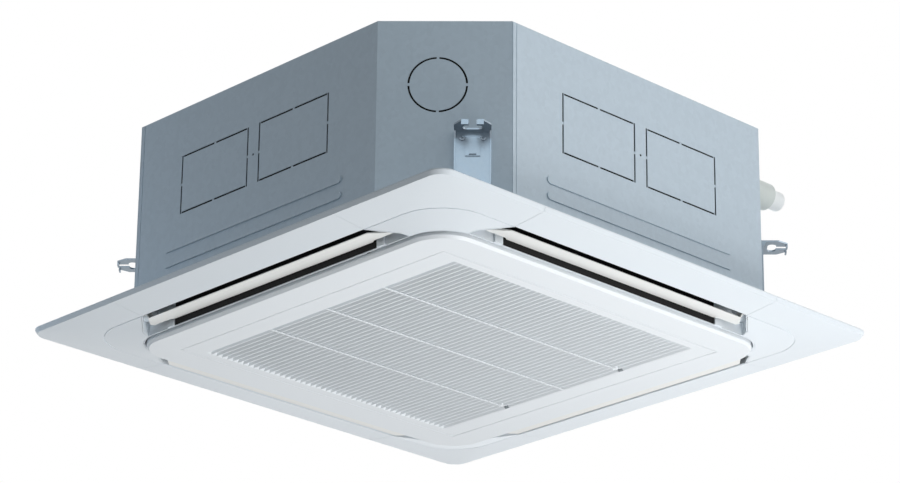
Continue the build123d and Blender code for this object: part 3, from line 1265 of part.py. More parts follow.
def drain_pan():
    """Foam pan: trough under the coil, sump, four air channels and the round fan opening."""
    inset = 2 * SHEET + PAN_CLEARANCE
    pan = octagon_prism(inset, PAN_BOTTOM_Z, PAN_TOP_Z)
    trough = square_prism(TROUGH_OUTER, TROUGH_RADIUS, TROUGH_FLOOR_Z, PAN_TOP_Z)
    inner_radius = TROUGH_RADIUS - (TROUGH_OUTER - TROUGH_INNER)
    trough -= square_prism(TROUGH_INNER, inner_radius, TROUGH_FLOOR_Z, PAN_TOP_Z)
    pan -= trough
    pan -= upright(PAN_HOLE, 0, 0, PAN_BOTTOM_Z, PAN_TOP_Z)
    recess = MOUTH_FLANGE_RADIUS + LOOSE
    pan -= upright(recess, 0, 0, PAN_BOTTOM_Z, MOUTH_FLANGE_Z + MOUTH_WALL)
    for quarter in range(4):
        room = PANEL_SCREW / 2 + SCREW_ROOM
        tip = upright(room, -PANEL_SCREW_X, -PANEL_SCREW_OUT, PAN_BOTTOM_Z, PAN_BOTTOM_Z + 8)
        pan -= turned(air_channel(PAN_BOTTOM_Z, PAN_TOP_Z) + tip, quarter)
        pan += turned(coil_pad(-COIL_END_BACK / 2) + coil_pad(COIL_END_BACK / 2), quarter)
    pan -= upright(SUMP_RADIUS, SUMP_X, SUMP_X, SUMP_FLOOR_Z, PAN_TOP_Z)
    room = HOSE / 2 + HOSE_ROOM
    low = SPOUT_Z - room
    pan -= block(PUMP_X, DRAIN_X, PUMP_X - room, PUMP_X + room, low, PAN_TOP_Z)
    pan -= upright(room, DRAIN_X, PUMP_X, low, PAN_TOP_Z)
    return pan - upright(PLUG / 2 + LOOSE, SUMP_X, SUMP_X, 0, PAN_TOP_Z)


def coil_pad(x):
    """Low pad in the front trough that the coil stands on."""
    return block(x - 15, x + 15, -COIL_OUTER, -COIL_INNER, TROUGH_FLOOR_Z - 1, COIL_BOTTOM_Z)


def pan_plug():
    """Rubber plug in the floor of the sump."""
    stem = upright(PLUG / 2, SUMP_X, SUMP_X, PAN_BOTTOM_Z, SUMP_FLOOR_Z)
    return stem + upright(PLUG / 2 + 4, SUMP_X, SUMP_X, PAN_BOTTOM_Z - 3, PAN_BOTTOM_Z)


def wall_liner():
    """Foam lining of the walls above the pan, left out at the pump's corner."""
    inset = 2 * SHEET + PAN_CLEARANCE
    liner = octagon_prism(inset, PAN_TOP_Z, TOP_LINER_BOTTOM_Z)
    liner -= octagon_prism(inset + LINER, PAN_TOP_Z, TOP_LINER_BOTTOM_Z)
    liner -= coil_gap(PAN_TOP_Z, CABINET_TOP_Z)
    return liner - along_x(BUSHING / 2 + 4, -CABINET_HALF, 0, 0, CABLE_Z)


def top_liner():
    """Foam sheet under the lid with holes round the motor studs."""
    liner = octagon_prism(2 * SHEET + PAN_CLEARANCE, TOP_LINER_BOTTOM_Z, TOP_LINER_TOP_Z)
    for x, y in stud_places():
        liner -= upright(BUSH / 2 + 3, x, y, TOP_LINER_BOTTOM_Z, TOP_LINER_TOP_Z)
    return liner


# ---- pipes and drain -----------------------------------------------------------------------


def pipe_run(x, y, z_low, diameter):
    """Riser beside the coil end that turns out through the back wall."""
    path = FilletPolyline((x, y, z_low), (x, y, PIPE_Z), (x, PIPE_END_Y, PIPE_Z), radius=PIPE_BEND)
    section = Plane(origin=(x, y, z_low), z_dir=(0, 0, 1)) * Circle(diameter / 2)
    return sweep(section, path=path)


def feeder(x, row, z, diameter):
    """Short tube from a coil end to a riser."""
    return along_x(diameter / 2, COIL_END_BACK + END_PLATE, x, row, z)


def coil_row(index):
    middle = (COIL_INNER + COIL_OUTER) / 2
    return middle + (index - 0.5) * TUBE_ROW_PITCH


def gas_pipe():
    """Suction header with three feeders from the inner row and the outside stub."""
    row = coil_row(0)
    pipe = pipe_run(GAS_PIPE_X, row, COIL_BOTTOM_Z + 12, GAS_PIPE)
    for z in feeder_heights():
        pipe += feeder(GAS_PIPE_X, row, z, TUBE)
    return pipe


def liquid_pipe():
    """Liquid riser with three thin feeders to the outer row and the outside stub."""
    row = coil_row(1)
    pipe = pipe_run(LIQUID_PIPE_X, row, COIL_BOTTOM_Z + 20, LIQUID_PIPE)
    for z in feeder_heights():
        pipe += feeder(LIQUID_PIPE_X, row, z, TUBE - 2)
    return pipe


def feeder_heights():
    """Levels between the return bends, where a tube end is free."""
    first = COIL_BOTTOM_Z + TUBE_PITCH
    return [first + TUBE_PITCH * step for step in (1.5, 3.5, 5.5)]


def flare_nut(x, across, pipe):
    """Hexagon nut on an outside stub."""
    hexagon = RegularPolygon(across / 2, 6, major_radius=False)
    plane = Plane(origin=(x, PIPE_END_Y - 6, PIPE_Z), z_dir=(0, -1, 0))
    nut = extrude(plane * hexagon, NUT_LENGTH)
    return nut - along_y(pipe / 2 + RUNNING, x, CABINET_HALF, PIPE_END_Y, PIPE_Z)


def pipe_plate():
    """Cover plate round both pipes on the back wall."""
    low_x = GAS_PIPE_X - GAS_NUT / 2 - PIPE_PLATE_MARGIN
    high_x = LIQUID_PIPE_X + LIQUID_NUT / 2 + PIPE_PLATE_MARGIN
    half = GAS_NUT / 2 + PIPE_PLATE_MARGIN
    y0 = CABINET_HALF
    plate = block(low_x, high_x, y0, y0 + PIPE_PLATE_THICKNESS, PIPE_Z - half, PIPE_Z + half)
    for x, size in ((GAS_PIPE_X, GAS_PIPE), (LIQUID_PIPE_X, LIQUID_PIPE)):
        plate += along_y(size / 2 + 4, x, y0, y0 + 3 * PIPE_PLATE_THICKNESS, PIPE_Z)
        plate -= along_y(size / 2 + LOOSE, x, y0 - 1, PIPE_END_Y, PIPE_Z)
    return plate


def drain_pump():
    """Condensate pump: cup in the sump, sleeve, motor and the bracket to the corner."""
    x = PUMP_X
    cup_top = PUMP_BASE_Z + PUMP_CUP_HEIGHT
    pump = upright(PUMP_RADIUS, x, x, PUMP_BASE_Z, cup_top)
    pump += upright(PUMP_SLEEVE / 2, x, x, cup_top, PUMP_MOTOR_Z)
    pump += upright(PUMP_MOTOR / 2, x, x, PUMP_MOTOR_Z, PUMP_MOTOR_Z + PUMP_MOTOR_HEIGHT)
    spout_end = DRAIN_X - HOSE_KNEE - LOOSE
    pump += along_x(SPOUT / 2, x, spout_end, x, SPOUT_Z)
    inside = PUMP_RADIUS - PUMP_WALL
    pump -= upright(inside, x, x, PUMP_BASE_Z + PUMP_WALL, cup_top - PUMP_WALL)
    pump -= upright(PUMP_RADIUS / 3, x, x, PUMP_BASE_Z - 1, PUMP_BASE_Z + PUMP_WALL)
    pump -= along_x(SPOUT / 2 - PUMP_WALL, x, spout_end + 1, x, SPOUT_Z)
    pump -= upright(ROTOR_SHAFT / 2 + RUNNING, x, x, PUMP_BASE_Z, PUMP_MOTOR_Z + 20)
    return pump + pump_bracket()


def pump_bracket():
    """Plate from the pump to the inside of the corner, with a tab for the float switch."""
    z = PUMP_MOTOR_Z + PUMP_MOTOR_HEIGHT
    out = CORNER_OUT - SHEET
    start = PUMP_X * ROOT2 - PUMP_MOTOR / 2
    plate = Pos((start + out) / 2, 0) * Rectangle(out - start, PUMP_BRACKET_WIDTH)
    plate = Rot(0, 0, 45) * plate
    arm = make_hull(
        (Pos(PUMP_X, PUMP_X) * Circle(FLOAT / 2) + Pos(FLOAT_X, FLOAT_Y) * Circle(FLOAT / 2)).edges()
    )
    bracket = extrude(Pos(0, 0, z) * (plate + arm), PUMP_BRACKET)
    tab = Pos(out - PUMP_BRACKET / 2, 0, z + 15) * Box(PUMP_BRACKET, PUMP_BRACKET_WIDTH, 30)
    return bracket + Rot(0, 0, 45) * tab


def pump_rotor():
    """Shaft with four flat paddles inside the pump's cup."""
    x = PUMP_X
    low = PUMP_BASE_Z + PUMP_WALL + 2
    rotor = upright(ROTOR_SHAFT / 2, x, x, low, PUMP_MOTOR_Z + 18)
    reach = PUMP_RADIUS - PUMP_WALL - 3
    for angle in (0, 90):
        paddle = Pos(x, x, low + 9) * Rot(0, 0, angle) * Box(2 * reach, 2, 18)
        rotor += paddle
    return rotor


def float_switch():
    """Stem with a head under the bracket's tab and a stop ring at its foot."""
    top = PUMP_MOTOR_Z + PUMP_MOTOR_HEIGHT
    ring_top = FLOAT_BOTTOM_Z - LOOSE
    stop = FLOAT_BOTTOM_Z + FLOAT_HEIGHT + FLOAT_TRAVEL + LOOSE
    stem = upright(FLOAT_STEM / 2, FLOAT_X, FLOAT_Y, ring_top - 3, top)
    stem += upright(FLOAT_STEM, FLOAT_X, FLOAT_Y, stop, top)
    return stem + upright(FLOAT_STEM, FLOAT_X, FLOAT_Y, ring_top - 3, ring_top)


def float_body():
    """Foam float that rises on the stem."""
    body = upright(FLOAT / 2, FLOAT_X, FLOAT_Y, FLOAT_BOTTOM_Z, FLOAT_BOTTOM_Z + FLOAT_HEIGHT)
    bore = FLOAT_STEM / 2 + LOOSE
    return body - upright(bore, FLOAT_X, FLOAT_Y, 0, CABINET_TOP_Z)


def drain_hose():
    """Rubber hose from the pump's spout up to the drain socket."""
    start = (PUMP_X + PUMP_RADIUS + 1, PUMP_X, SPOUT_Z)
    knee = (DRAIN_X, PUMP_X, SPOUT_Z)
    head = (DRAIN_X, PUMP_X, DRAIN_Z)
    end = (DRAIN_X, DRAIN_INSIDE_Y + 10, DRAIN_Z)
    path = FilletPolyline(start, knee, head, end, radius=[HOSE_KNEE, HOSE_BEND])
    ring = Circle(HOSE / 2) - Circle(HOSE / 2 - HOSE_WALL)
    return sweep(Plane(origin=start, z_dir=(1, 0, 0)) * ring, path=path)


def drain_socket():
    """Socket that passes the cut corner slantwise, with flange and outside stub."""
    wide = along_y(DRAIN_SOCKET / 2, DRAIN_X, DRAIN_INSIDE_Y, DRAIN_SOCKET_END_Y, DRAIN_Z)
    stub = along_y(DRAIN_STUB / 2, DRAIN_X, DRAIN_SOCKET_END_Y - 1, DRAIN_STUB_END_Y, DRAIN_Z)
    outside = Pos(0, 100 + CORNER_OUT, DRAIN_Z) * Box(300, 200, 100)
    wide &= turned(Rot(0, 0, -135) * outside, 1)
    flange = Pos(0, DRAIN_FLANGE / 2, DRAIN_Z) * Box(DRAIN_SOCKET * 2, DRAIN_FLANGE, DRAIN_SOCKET + 14)
    flange = fillet(flange.edges().filter_by(Axis.Y), 12)
    inside = along_y(DRAIN_INSIDE / 2, DRAIN_X, DRAIN_INSIDE_Y, DRAIN_SOCKET_END_Y, DRAIN_Z)
    socket = wide + stub + inside + at_corner(flange, 1)
    socket -= along_y(DRAIN_BORE / 2, DRAIN_X, DRAIN_INSIDE_Y + 20, DRAIN_STUB_END_Y + 1, DRAIN_Z)
    return socket - along_y(HOSE / 2 + LOOSE, DRAIN_X, DRAIN_INSIDE_Y - 1, DRAIN_INSIDE_Y + 21, DRAIN_Z)


# ---- control box ---------------------------------------------------------------------------


def control_box():
    """Sheet metal tray under the pan, open downwards."""
    outer_x = BOX_INNER_X - BOX_WIDTH
    low = BOX_BOTTOM_Z + BOX_SHEET
    half = BOX_LENGTH / 2
    tray = block(outer_x, BOX_INNER_X, -half, half, low, PAN_BOTTOM_Z)
    tray -= block(
        outer_x + BOX_SHEET, BOX_INNER_X - BOX_SHEET, -half + BOX_SHEET, half - BOX_SHEET,
        low, PAN_BOTTOM_Z - BOX_SHEET,
    )
    for x, y in board_posts():
        tray += upright(3, x, y, BOARD_Z, PAN_BOTTOM_Z - BOX_SHEET / 2)
    return tray - box_cable_hole()


def box_cable_hole():
    x = BOX_INNER_X - BOX_WIDTH / 2
    return along_y(BUSHING / 2 - 2, x, BOX_LENGTH / 2 - 5, BOX_LENGTH / 2 + 5, 7)


def board_posts():
    x_out = BOX_INNER_X - BOX_WIDTH + BOARD_MARGIN + 8
    x_in = BOX_INNER_X - BOARD_MARGIN - 8
    y = BOX_LENGTH / 2 - BOARD_MARGIN - 8
    return [(x_out, -y), (x_in, -y), (x_out, 40), (x_in, 40)]


def control_cover():
    """Flat lid with a turned edge that closes the tray from below."""
    outer_x = BOX_INNER_X - BOX_WIDTH
    half = BOX_LENGTH / 2
    return block(outer_x, BOX_INNER_X, -half, half, BOX_BOTTOM_Z, BOX_BOTTOM_Z + BOX_SHEET)


def control_board():
    """Circuit board on four posts with its larger components."""
    x0 = BOX_INNER_X - BOX_WIDTH + BOARD_MARGIN
    x1 = BOX_INNER_X - BOARD_MARGIN
    y0 = -BOX_LENGTH / 2 + BOARD_MARGIN
    board = block(x0, x1, y0, 50, BOARD_Z - BOARD, BOARD_Z)
    board += block(x0 + 12, x0 + 42, y0 + 20, y0 + 60, BOARD_Z - 16, BOARD_Z - BOARD)
    board += block(x1 - 36, x1 - 10, y0 + 26, y0 + 90, BOARD_Z - 10, BOARD_Z - BOARD)
    board += upright(9, x0 + 24, y0 + 100, BOARD_Z - 18, BOARD_Z - BOARD)
    board += upright(9, x0 + 24, y0 + 124, BOARD_Z - 18, BOARD_Z - BOARD)
    return board + block(x1 - 40, x1 - 8, y0 + 120, y0 + 190, BOARD_Z - 8, BOARD_Z - BOARD)


def terminal_block():
    """Row of screw terminals for the supply."""
    x = BOX_INNER_X - BOX_WIDTH / 2
    top = PAN_BOTTOM_Z - BOX_SHEET
    y0 = BOX_LENGTH / 2 - 60
    body = block(
        x - TERMINAL_LENGTH / 2, x + TERMINAL_LENGTH / 2, y0, y0 + TERMINAL_WIDTH,
        top - TERMINAL_HEIGHT, top,
    )
    pitch = TERMINAL_LENGTH / 5
    for index in range(5):
        cell_x = x - TERMINAL_LENGTH / 2 + pitch * (index + 0.5)
        body -= block(
            cell_x - 4, cell_x + 4, y0 + 4, y0 + TERMINAL_WIDTH - 4,
            top - TERMINAL_HEIGHT, top - TERMINAL_HEIGHT + 4,
        )
    return body


def cable_bushing():
    """Rubber bushing in the left wall where the supply cable enters."""
    x = -CABINET_HALF
    ring = along_x(BUSHING / 2 + 3, x - 2.5, x, 0, CABLE_Z)
    ring += along_x(BUSHING / 2 - LOOSE, x - 2.5, x + SHEET + 1, 0, CABLE_Z)
    return ring - along_x(BUSHING / 2 - 3, x - 5, x + 5, 0, CABLE_Z)


def panel_screws():
    """Four screws that hold the panel to the tabs of the cabinet."""
    screws = []
    for quarter in range(4):
        head = upright(SCREW_HEAD / 2, -PANEL_SCREW_X, -PANEL_SCREW_OUT, -BASE_PLATE - 3, -BASE_PLATE)
        tip = PAN_BOTTOM_Z + 5
        shank = upright(PANEL_SCREW / 2, -PANEL_SCREW_X, -PANEL_SCREW_OUT, -BASE_PLATE, tip)
        screws.append(turned(head + shank, quarter))
    return screws


def cabinet_screws():
    screws = []
    for quarter in range(4):
        screws += bracket_screws(quarter)
    return screws


# ---- assembly ------------------------------------------------------------------------------

CORNER_NAMES = ("front_right", "back_right", "back_left", "front_left")
SIDE_NAMES = ("front", "right", "back", "left")


def build_nodes():
    nodes = {
        "top_plate": top_plate(),
        "cabinet_screws": cabinet_screws(),
        "panel_frame": panel_frame(),
        "panel_seal": panel_seal(),
        "panel_screws": panel_screws(),
        "intake_grille": intake_grille(),
        "latch_left": latch(-LATCH_X),
        "latch_right": latch(LATCH_X),
        "air_filter": air_filter(),
        "turbofan": turbofan(),
        "motor_shaft": motor_shaft(),
        "fan_nut": fan_nut(),
        "fan_motor": fan_motor(),
        "motor_mounts": motor_mounts(),
        "motor_nuts": motor_nuts(),
        "bell_mouth": bell_mouth(),
        "coil_fins": coil_fins(),
        "coil_end_plates": coil_end_plates(),
        "coil_tubes": coil_tubes(),
        "drain_pan": drain_pan(),
        "pan_plug": pan_plug(),
        "wall_liner": wall_liner(),
        "top_liner": top_liner(),
        "gas_pipe": gas_pipe(),
        "liquid_pipe": liquid_pipe(),
        "gas_nut": flare_nut(GAS_PIPE_X, GAS_NUT, GAS_PIPE),
        "liquid_nut": flare_nut(LIQUID_PIPE_X, LIQUID_NUT, LIQUID_PIPE),
        "pipe_plate": pipe_plate(),
        "drain_pump": drain_pump(),
        "pump_rotor": pump_rotor(),
        "float_switch": float_switch(),
        "float": float_body(),
        "drain_hose": drain_hose(),
        "drain_socket": drain_socket(),
        "control_box": control_box(),
        "control_cover": control_cover(),
        "control_board": control_board(),
        "terminal_block": terminal_block(),
        "cable_bushing": cable_bushing(),
    }
    for quarter, name in enumerate(SIDE_NAMES):
        nodes["side_wall_" + name] = side_wall(quarter)
        nodes["vane_" + name] = vane(quarter)
        nodes["vane_motor_" + name] = vane_motor(quarter)
    for quarter, name in enumerate(CORNER_NAMES):
        nodes["hanger_" + name] = hanger_bracket(quarter)
        nodes["corner_cover_" + name] = corner_cover(quarter)
    return nodes


def write_parts():
    os.makedirs("parts", exist_ok=True)
    for name, shape in build_nodes().items():
        if isinstance(shape, list):
            shape = Compound(children=[item for piece in shape for item in piece.solids()])
        export_step(shape, "parts/" + name + ".step")


write_parts()
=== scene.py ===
import math
import bmesh
import bpy
from mathutils import Matrix, Vector


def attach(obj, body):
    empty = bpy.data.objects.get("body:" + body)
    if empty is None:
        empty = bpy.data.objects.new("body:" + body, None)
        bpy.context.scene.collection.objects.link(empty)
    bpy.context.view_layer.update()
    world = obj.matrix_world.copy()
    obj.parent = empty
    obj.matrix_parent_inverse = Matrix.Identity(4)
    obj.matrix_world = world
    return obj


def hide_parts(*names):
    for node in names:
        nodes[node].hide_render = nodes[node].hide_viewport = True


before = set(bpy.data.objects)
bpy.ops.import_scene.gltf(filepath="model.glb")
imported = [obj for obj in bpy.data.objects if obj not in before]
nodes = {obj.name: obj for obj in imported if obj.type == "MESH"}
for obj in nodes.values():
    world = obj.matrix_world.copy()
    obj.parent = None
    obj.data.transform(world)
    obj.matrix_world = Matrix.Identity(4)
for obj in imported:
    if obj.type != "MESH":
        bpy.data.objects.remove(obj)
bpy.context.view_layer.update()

# ---- Cabinet walls, lid and control box --------------------------------------------------
# Four folded walls and a lid of hot-dip galvanised sheet steel, 1 mm thick. The zinc
# freezes in flat crystals about 7 mm across, so the sheet is a soft blue-grey metal with
# a faint patchwork, fine rolling grain and hardly any mirror image.


def linear(hex_code):
    """An sRGB colour such as "#AABBCC" as the linear values that a shader takes."""
    channels = [int(hex_code[start:start + 2], 16) / 255 for start in (1, 3, 5)]
    bright = [((value + 0.055) / 1.055) ** 2.4 for value in channels]
    return (*[b if v > 0.04045 else v / 12.92 for v, b in zip(channels, bright)], 1.0)


def new_material(name, colour, roughness, metallic=0.0, ior=1.5):
    """A material whose Principled shader has the given plain finish."""
    made = bpy.data.materials.new(name)
    made.use_nodes = True
    shader = made.node_tree.nodes["Principled BSDF"]
    shader.inputs["Base Color"].default_value = linear(colour)
    shader.inputs["Roughness"].default_value = roughness
    shader.inputs["Metallic"].default_value = metallic
    shader.inputs["IOR"].default_value = ior
    return made


def add_node(made, kind, sockets=(), **settings):
    """Adds one node, with its settings and with a value or a link for each named socket."""
    new = made.node_tree.nodes.new(kind)
    for name, value in settings.items():
        setattr(new, name, value)
    for name, value in dict(sockets).items():
        if isinstance(value, bpy.types.NodeSocket):
            made.node_tree.links.new(value, new.inputs[name])
        else:
            new.inputs[name].default_value = value
    return new


def shader_takes(made, name, output):
    """Links an output to a socket of the material's Principled shader."""
    made.node_tree.links.new(output, made.node_tree.nodes["Principled BSDF"].inputs[name])


def finish(material, *names):
    """Gives the material to CAD nodes."""
    for name in names:
        for slot in nodes[name].material_slots:
            slot.material = material


millimetre = 0.001
zinc_crystal = 7 * millimetre
crystal_bend = 0.012
bends_per_crystal = 0.6
rolling_grain = 1.6 * millimetre
grain_height = 0.4 * millimetre
roll_streak = 5 * millimetre
streak_stretch = 0.12

# Galvanised steel: crystals that differ a little in tone and shine, clouded in streaks that
# run up the walls, over the fine grain that the rolls leave.
galvanised_steel = new_material("galvanised_steel", "#B7C5D0", roughness=0.5, metallic=0.1)
place = add_node(galvanised_steel, "ShaderNodeTexCoord").outputs["Object"]
warp = add_node(galvanised_steel, "ShaderNodeTexNoise",
                {"Vector": place, "Scale": bends_per_crystal / zinc_crystal, "Detail": 2.0})
bent = add_node(galvanised_steel, "ShaderNodeMix",
                {"Factor": crystal_bend, "A": place, "B": warp.outputs["Color"]},
                data_type="VECTOR")
crystals = add_node(galvanised_steel, "ShaderNodeTexVoronoi",
                    {"Vector": bent.outputs[1], "Scale": 1 / zinc_crystal}, feature="F1")
tone = add_node(galvanised_steel, "ShaderNodeSeparateColor",
                {"Color": crystals.outputs["Color"]})
along_roll = add_node(galvanised_steel, "ShaderNodeMapping",
                      {"Vector": place, "Scale": (1.0, 1.0, streak_stretch)})
cloud = add_node(galvanised_steel, "ShaderNodeTexNoise",
                 {"Vector": along_roll.outputs["Vector"], "Scale": 1 / roll_streak,
                  "Detail": 3.0})
spangle = add_node(galvanised_steel, "ShaderNodeMix",
                   {"Factor": tone.outputs[0], "A": linear("#B3C1CC"),
                    "B": linear("#BCCAD5")}, data_type="RGBA")
sheet_colour = add_node(galvanised_steel, "ShaderNodeMix",
                        {"Factor": cloud.outputs[0], "A": spangle.outputs[2],
                         "B": linear("#B9C8D3")}, data_type="RGBA")
shader_takes(galvanised_steel, "Base Color", sheet_colour.outputs[2])
crystal_shine = add_node(galvanised_steel, "ShaderNodeMapRange",
                         {"Value": tone.outputs[1], "To Min": 0.46, "To Max": 0.52})
shader_takes(galvanised_steel, "Roughness", crystal_shine.outputs[0])
grain = add_node(galvanised_steel, "ShaderNodeTexNoise",
                 {"Vector": place, "Scale": 1 / rolling_grain, "Detail": 2.0})
grain_relief = add_node(galvanised_steel, "ShaderNodeBump",
                        {"Height": grain.outputs[0], "Strength": 0.12,
                         "Distance": grain_height})
shader_takes(galvanised_steel, "Normal", grain_relief.outputs[0])
finish(galvanised_steel, "side_wall_front", "side_wall_right", "side_wall_back",
       "side_wall_left", "top_plate", "control_box", "control_cover", "pipe_plate",
       "coil_end_plates")

# ---- Hanger brackets ---------------------------------------------------------------------
# Pressed steel brackets, 2.5 mm thick, one on each cut-off corner, electroplated with zinc:
# smoother, darker and shinier than the cabinet's sheet. The nuts, the motor's shaft and the
# panel's screws have the same plating.

bloom_size = 9 * millimetre

# Zinc plate: a bright metal that has clouded a little where it was handled.
plated_steel = new_material("zinc_plated_steel", "#8C98A3", roughness=0.32, metallic=0.95)
place = add_node(plated_steel, "ShaderNodeTexCoord").outputs["Object"]
bloom = add_node(plated_steel, "ShaderNodeTexNoise",
                 {"Vector": place, "Scale": 1 / bloom_size, "Detail": 4.0})
plated_colour = add_node(plated_steel, "ShaderNodeMix",
                         {"Factor": bloom.outputs[0], "A": linear("#808C97"),
                          "B": linear("#98A4AE")}, data_type="RGBA")
shader_takes(plated_steel, "Base Color", plated_colour.outputs[2])
plated_shine = add_node(plated_steel, "ShaderNodeMapRange",
                        {"Value": bloom.outputs[0], "To Min": 0.3, "To Max": 0.46})
shader_takes(plated_steel, "Roughness", plated_shine.outputs[0])
finish(plated_steel, "hanger_front_left", "hanger_front_right", "hanger_back_left",
       "hanger_back_right", "panel_screws", "fan_nut", "motor_nuts", "motor_shaft")

# ---- Bracket screws ----------------------------------------------------------------------
# Pan-headed self-tapping screws of zinc-plated steel, two through each bracket. The cross
# recess is punched cold into the head, which leaves its rim rounded.

head_radius = 4.5 * millimetre
head_height = 2.5 * millimetre
head_sides = 32
rim_round = 0.45 * head_height
rim_steps = 4
shank_radius = 2.5 * millimetre
shank_length = 2.5 * millimetre
recess_reach = 2.7 * millimetre
recess_width = 1.1 * millimetre
recess_depth = 1.5 * millimetre
recess_taper = 0.5
near_head_top = 0.9 * head_height
facing_down = -0.9
smooth_below = math.radians(40)

# The face that the heads sit on lies this far from the unit's axis, along the diagonal.
bracket_face = 496.06 * millimetre
screw_rise = 118.5 * millimetre
screw_places = (26.73 * millimetre, 58.13 * millimetre)


def start_piece():
    """Leaves edit mode and deselects everything, so an operator acts on the new piece only."""
    if bpy.context.mode != "OBJECT":
        bpy.ops.object.mode_set(mode="OBJECT")
    bpy.ops.object.select_all(action="DESELECT")


def pick(kind, wanted):
    """In edit mode, selects just the edges or faces that wanted() says yes to."""
    bpy.ops.mesh.select_all(action="DESELECT")
    bpy.ops.mesh.select_mode(type=kind)
    form = bmesh.from_edit_mesh(bpy.context.object.data)
    for item in {"EDGE": form.edges, "FACE": form.faces}[kind]:
        item.select_set(wanted(item))
    bmesh.update_edit_mesh(bpy.context.object.data)


def place_mesh(piece):
    """Moves a piece's place, turn and size into its mesh."""
    start_piece()
    piece.select_set(True)
    bpy.context.view_layer.objects.active = piece
    bpy.ops.object.transform_apply(location=True, rotation=True, scale=True)


start_piece()
bpy.ops.mesh.primitive_cylinder_add(vertices=head_sides, radius=head_radius,
                                    depth=head_height, location=(0, 0, head_height / 2))
screw = bpy.context.object
place_mesh(screw)
bpy.ops.object.mode_set(mode="EDIT")
pick("EDGE", lambda edge: all(v.co.z > near_head_top for v in edge.verts))
bpy.ops.mesh.bevel(offset=rim_round, segments=rim_steps, affect="EDGES")
pick("FACE", lambda face: face.normal.z < facing_down)
bpy.ops.mesh.inset(thickness=head_radius - shank_radius)
bpy.ops.mesh.extrude_region_move(TRANSFORM_OT_translate={"value": (0, 0, -shank_length)})
bpy.ops.object.mode_set(mode="OBJECT")

# Two crossed punches, narrower at the tip, cut the recess.
for turn_by in (0.0, math.pi / 2):
    start_piece()
    bpy.ops.mesh.primitive_cube_add(size=1, location=(0, 0, head_height),
                                    rotation=(0, 0, turn_by))
    punch = bpy.context.object
    punch.scale = (2 * recess_reach, recess_width, 2 * recess_depth)
    place_mesh(punch)
    bpy.ops.object.mode_set(mode="EDIT")
    pick("FACE", lambda face: face.normal.z < facing_down)
    bpy.ops.transform.resize(value=(recess_taper, recess_taper, 1.0))
    start_piece()
    screw.select_set(True)
    bpy.context.view_layer.objects.active = screw
    cut = screw.modifiers.new("recess", "BOOLEAN")
    cut.operation = "DIFFERENCE"
    cut.object = punch
    bpy.ops.object.modifier_apply(modifier=cut.name)
    bpy.data.objects.remove(punch)

for side_x, side_y in ((1, -1), (1, 1), (-1, 1), (-1, -1)):
    for number, along in enumerate(screw_places, start=1):
        copied = screw.copy()
        copied.data = screw.data.copy()
        bpy.context.scene.collection.objects.link(copied)
        copied.rotation_euler = Vector((side_x, side_y, 0)).to_track_quat("Z", "Y").to_euler()
        copied.location = (side_x * (bracket_face + along) / math.sqrt(2),
                           side_y * (bracket_face - along) / math.sqrt(2), screw_rise)
        place_mesh(copied)
        corner = ("front" if side_y < 0 else "back") + ("_right" if side_x > 0 else "_left")
        copied.name = "bracket_screw_%s_%d" % (corner, number)
        bpy.ops.object.shade_smooth_by_angle(angle=smooth_below)
        copied.data.materials.clear()
        copied.data.materials.append(plated_steel)
        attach(copied, "unit")
        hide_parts("cabinet_screws")
bpy.data.objects.remove(screw)

# ---- Panel frame and corner covers -------------------------------------------------------
# Injection-moulded ABS, 2.4 mm thick, in a cool white. The tool has a fine satin grain, so
# the plastic shines softly along its edges and shows no mirror image.

satin_grain = 0.5 * millimetre
satin_height = 0.1 * millimetre
panel_flow_size = 180 * millimetre

panel_plastic = new_material("moulded_white_abs", "#E3EAF0", roughness=0.36, ior=1.53)
place = add_node(panel_plastic, "ShaderNodeTexCoord").outputs["Object"]
stipple = add_node(panel_plastic, "ShaderNodeTexNoise",
                   {"Vector": place, "Scale": 1 / satin_grain, "Detail": 2.0})
stipple_relief = add_node(panel_plastic, "ShaderNodeBump",
                          {"Height": stipple.outputs[0], "Strength": 0.06,
                           "Distance": satin_height})
shader_takes(panel_plastic, "Normal", stipple_relief.outputs[0])
panel_flow = add_node(panel_plastic, "ShaderNodeTexNoise",
                      {"Vector": place, "Scale": 1 / panel_flow_size, "Detail": 2.0})
panel_colour = add_node(panel_plastic, "ShaderNodeMix",
                        {"Factor": panel_flow.outputs[0], "A": linear("#E1E8EE"),
                         "B": linear("#E5ECF1")}, data_type="RGBA")
shader_takes(panel_plastic, "Base Color", panel_colour.outputs[2])
finish(panel_plastic, "panel_frame", "corner_cover_front_right", "corner_cover_front_left",
       "corner_cover_back_right", "corner_cover_back_left")

# ---- Vanes -------------------------------------------------------------------------------
# Moulded ABS blades that turn on pins in the outlets, with a smooth satin face. Their white is
# set lighter and a touch warmer than the panel's, which is partly painted light: it stands in
# for the way the light falls on the tilted blades.

vane_flow_size = 60 * millimetre

# A lighter, warmer white than the panel's, partly as painted light on the vanes.
vane_abs_with_painted_light = new_material("white_abs_with_painted_light", "#EEEEEA", roughness=0.32, ior=1.53)
place = add_node(vane_abs_with_painted_light, "ShaderNodeTexCoord").outputs["Object"]
vane_flow = add_node(vane_abs_with_painted_light, "ShaderNodeTexNoise",
                     {"Vector": place, "Scale": 1 / vane_flow_size, "Detail": 3.0})
vane_tone_with_painted_light = add_node(vane_abs_with_painted_light, "ShaderNodeMix",
                       {"Factor": vane_flow.outputs[0], "A": linear("#EDEEEB"),
                        "B": linear("#F2F3F1")}, data_type="RGBA")
shader_takes(vane_abs_with_painted_light, "Base Color", vane_tone_with_painted_light.outputs[2])
finish(vane_abs_with_painted_light, "vane_front", "vane_right", "vane_back", "vane_left")

# ---- Grille and latches ------------------------------------------------------------------
# One louvred moulding of polystyrene, whiter and more matt than the panel, with the same
# satin grain. The two catches that slide in it are the same plastic.

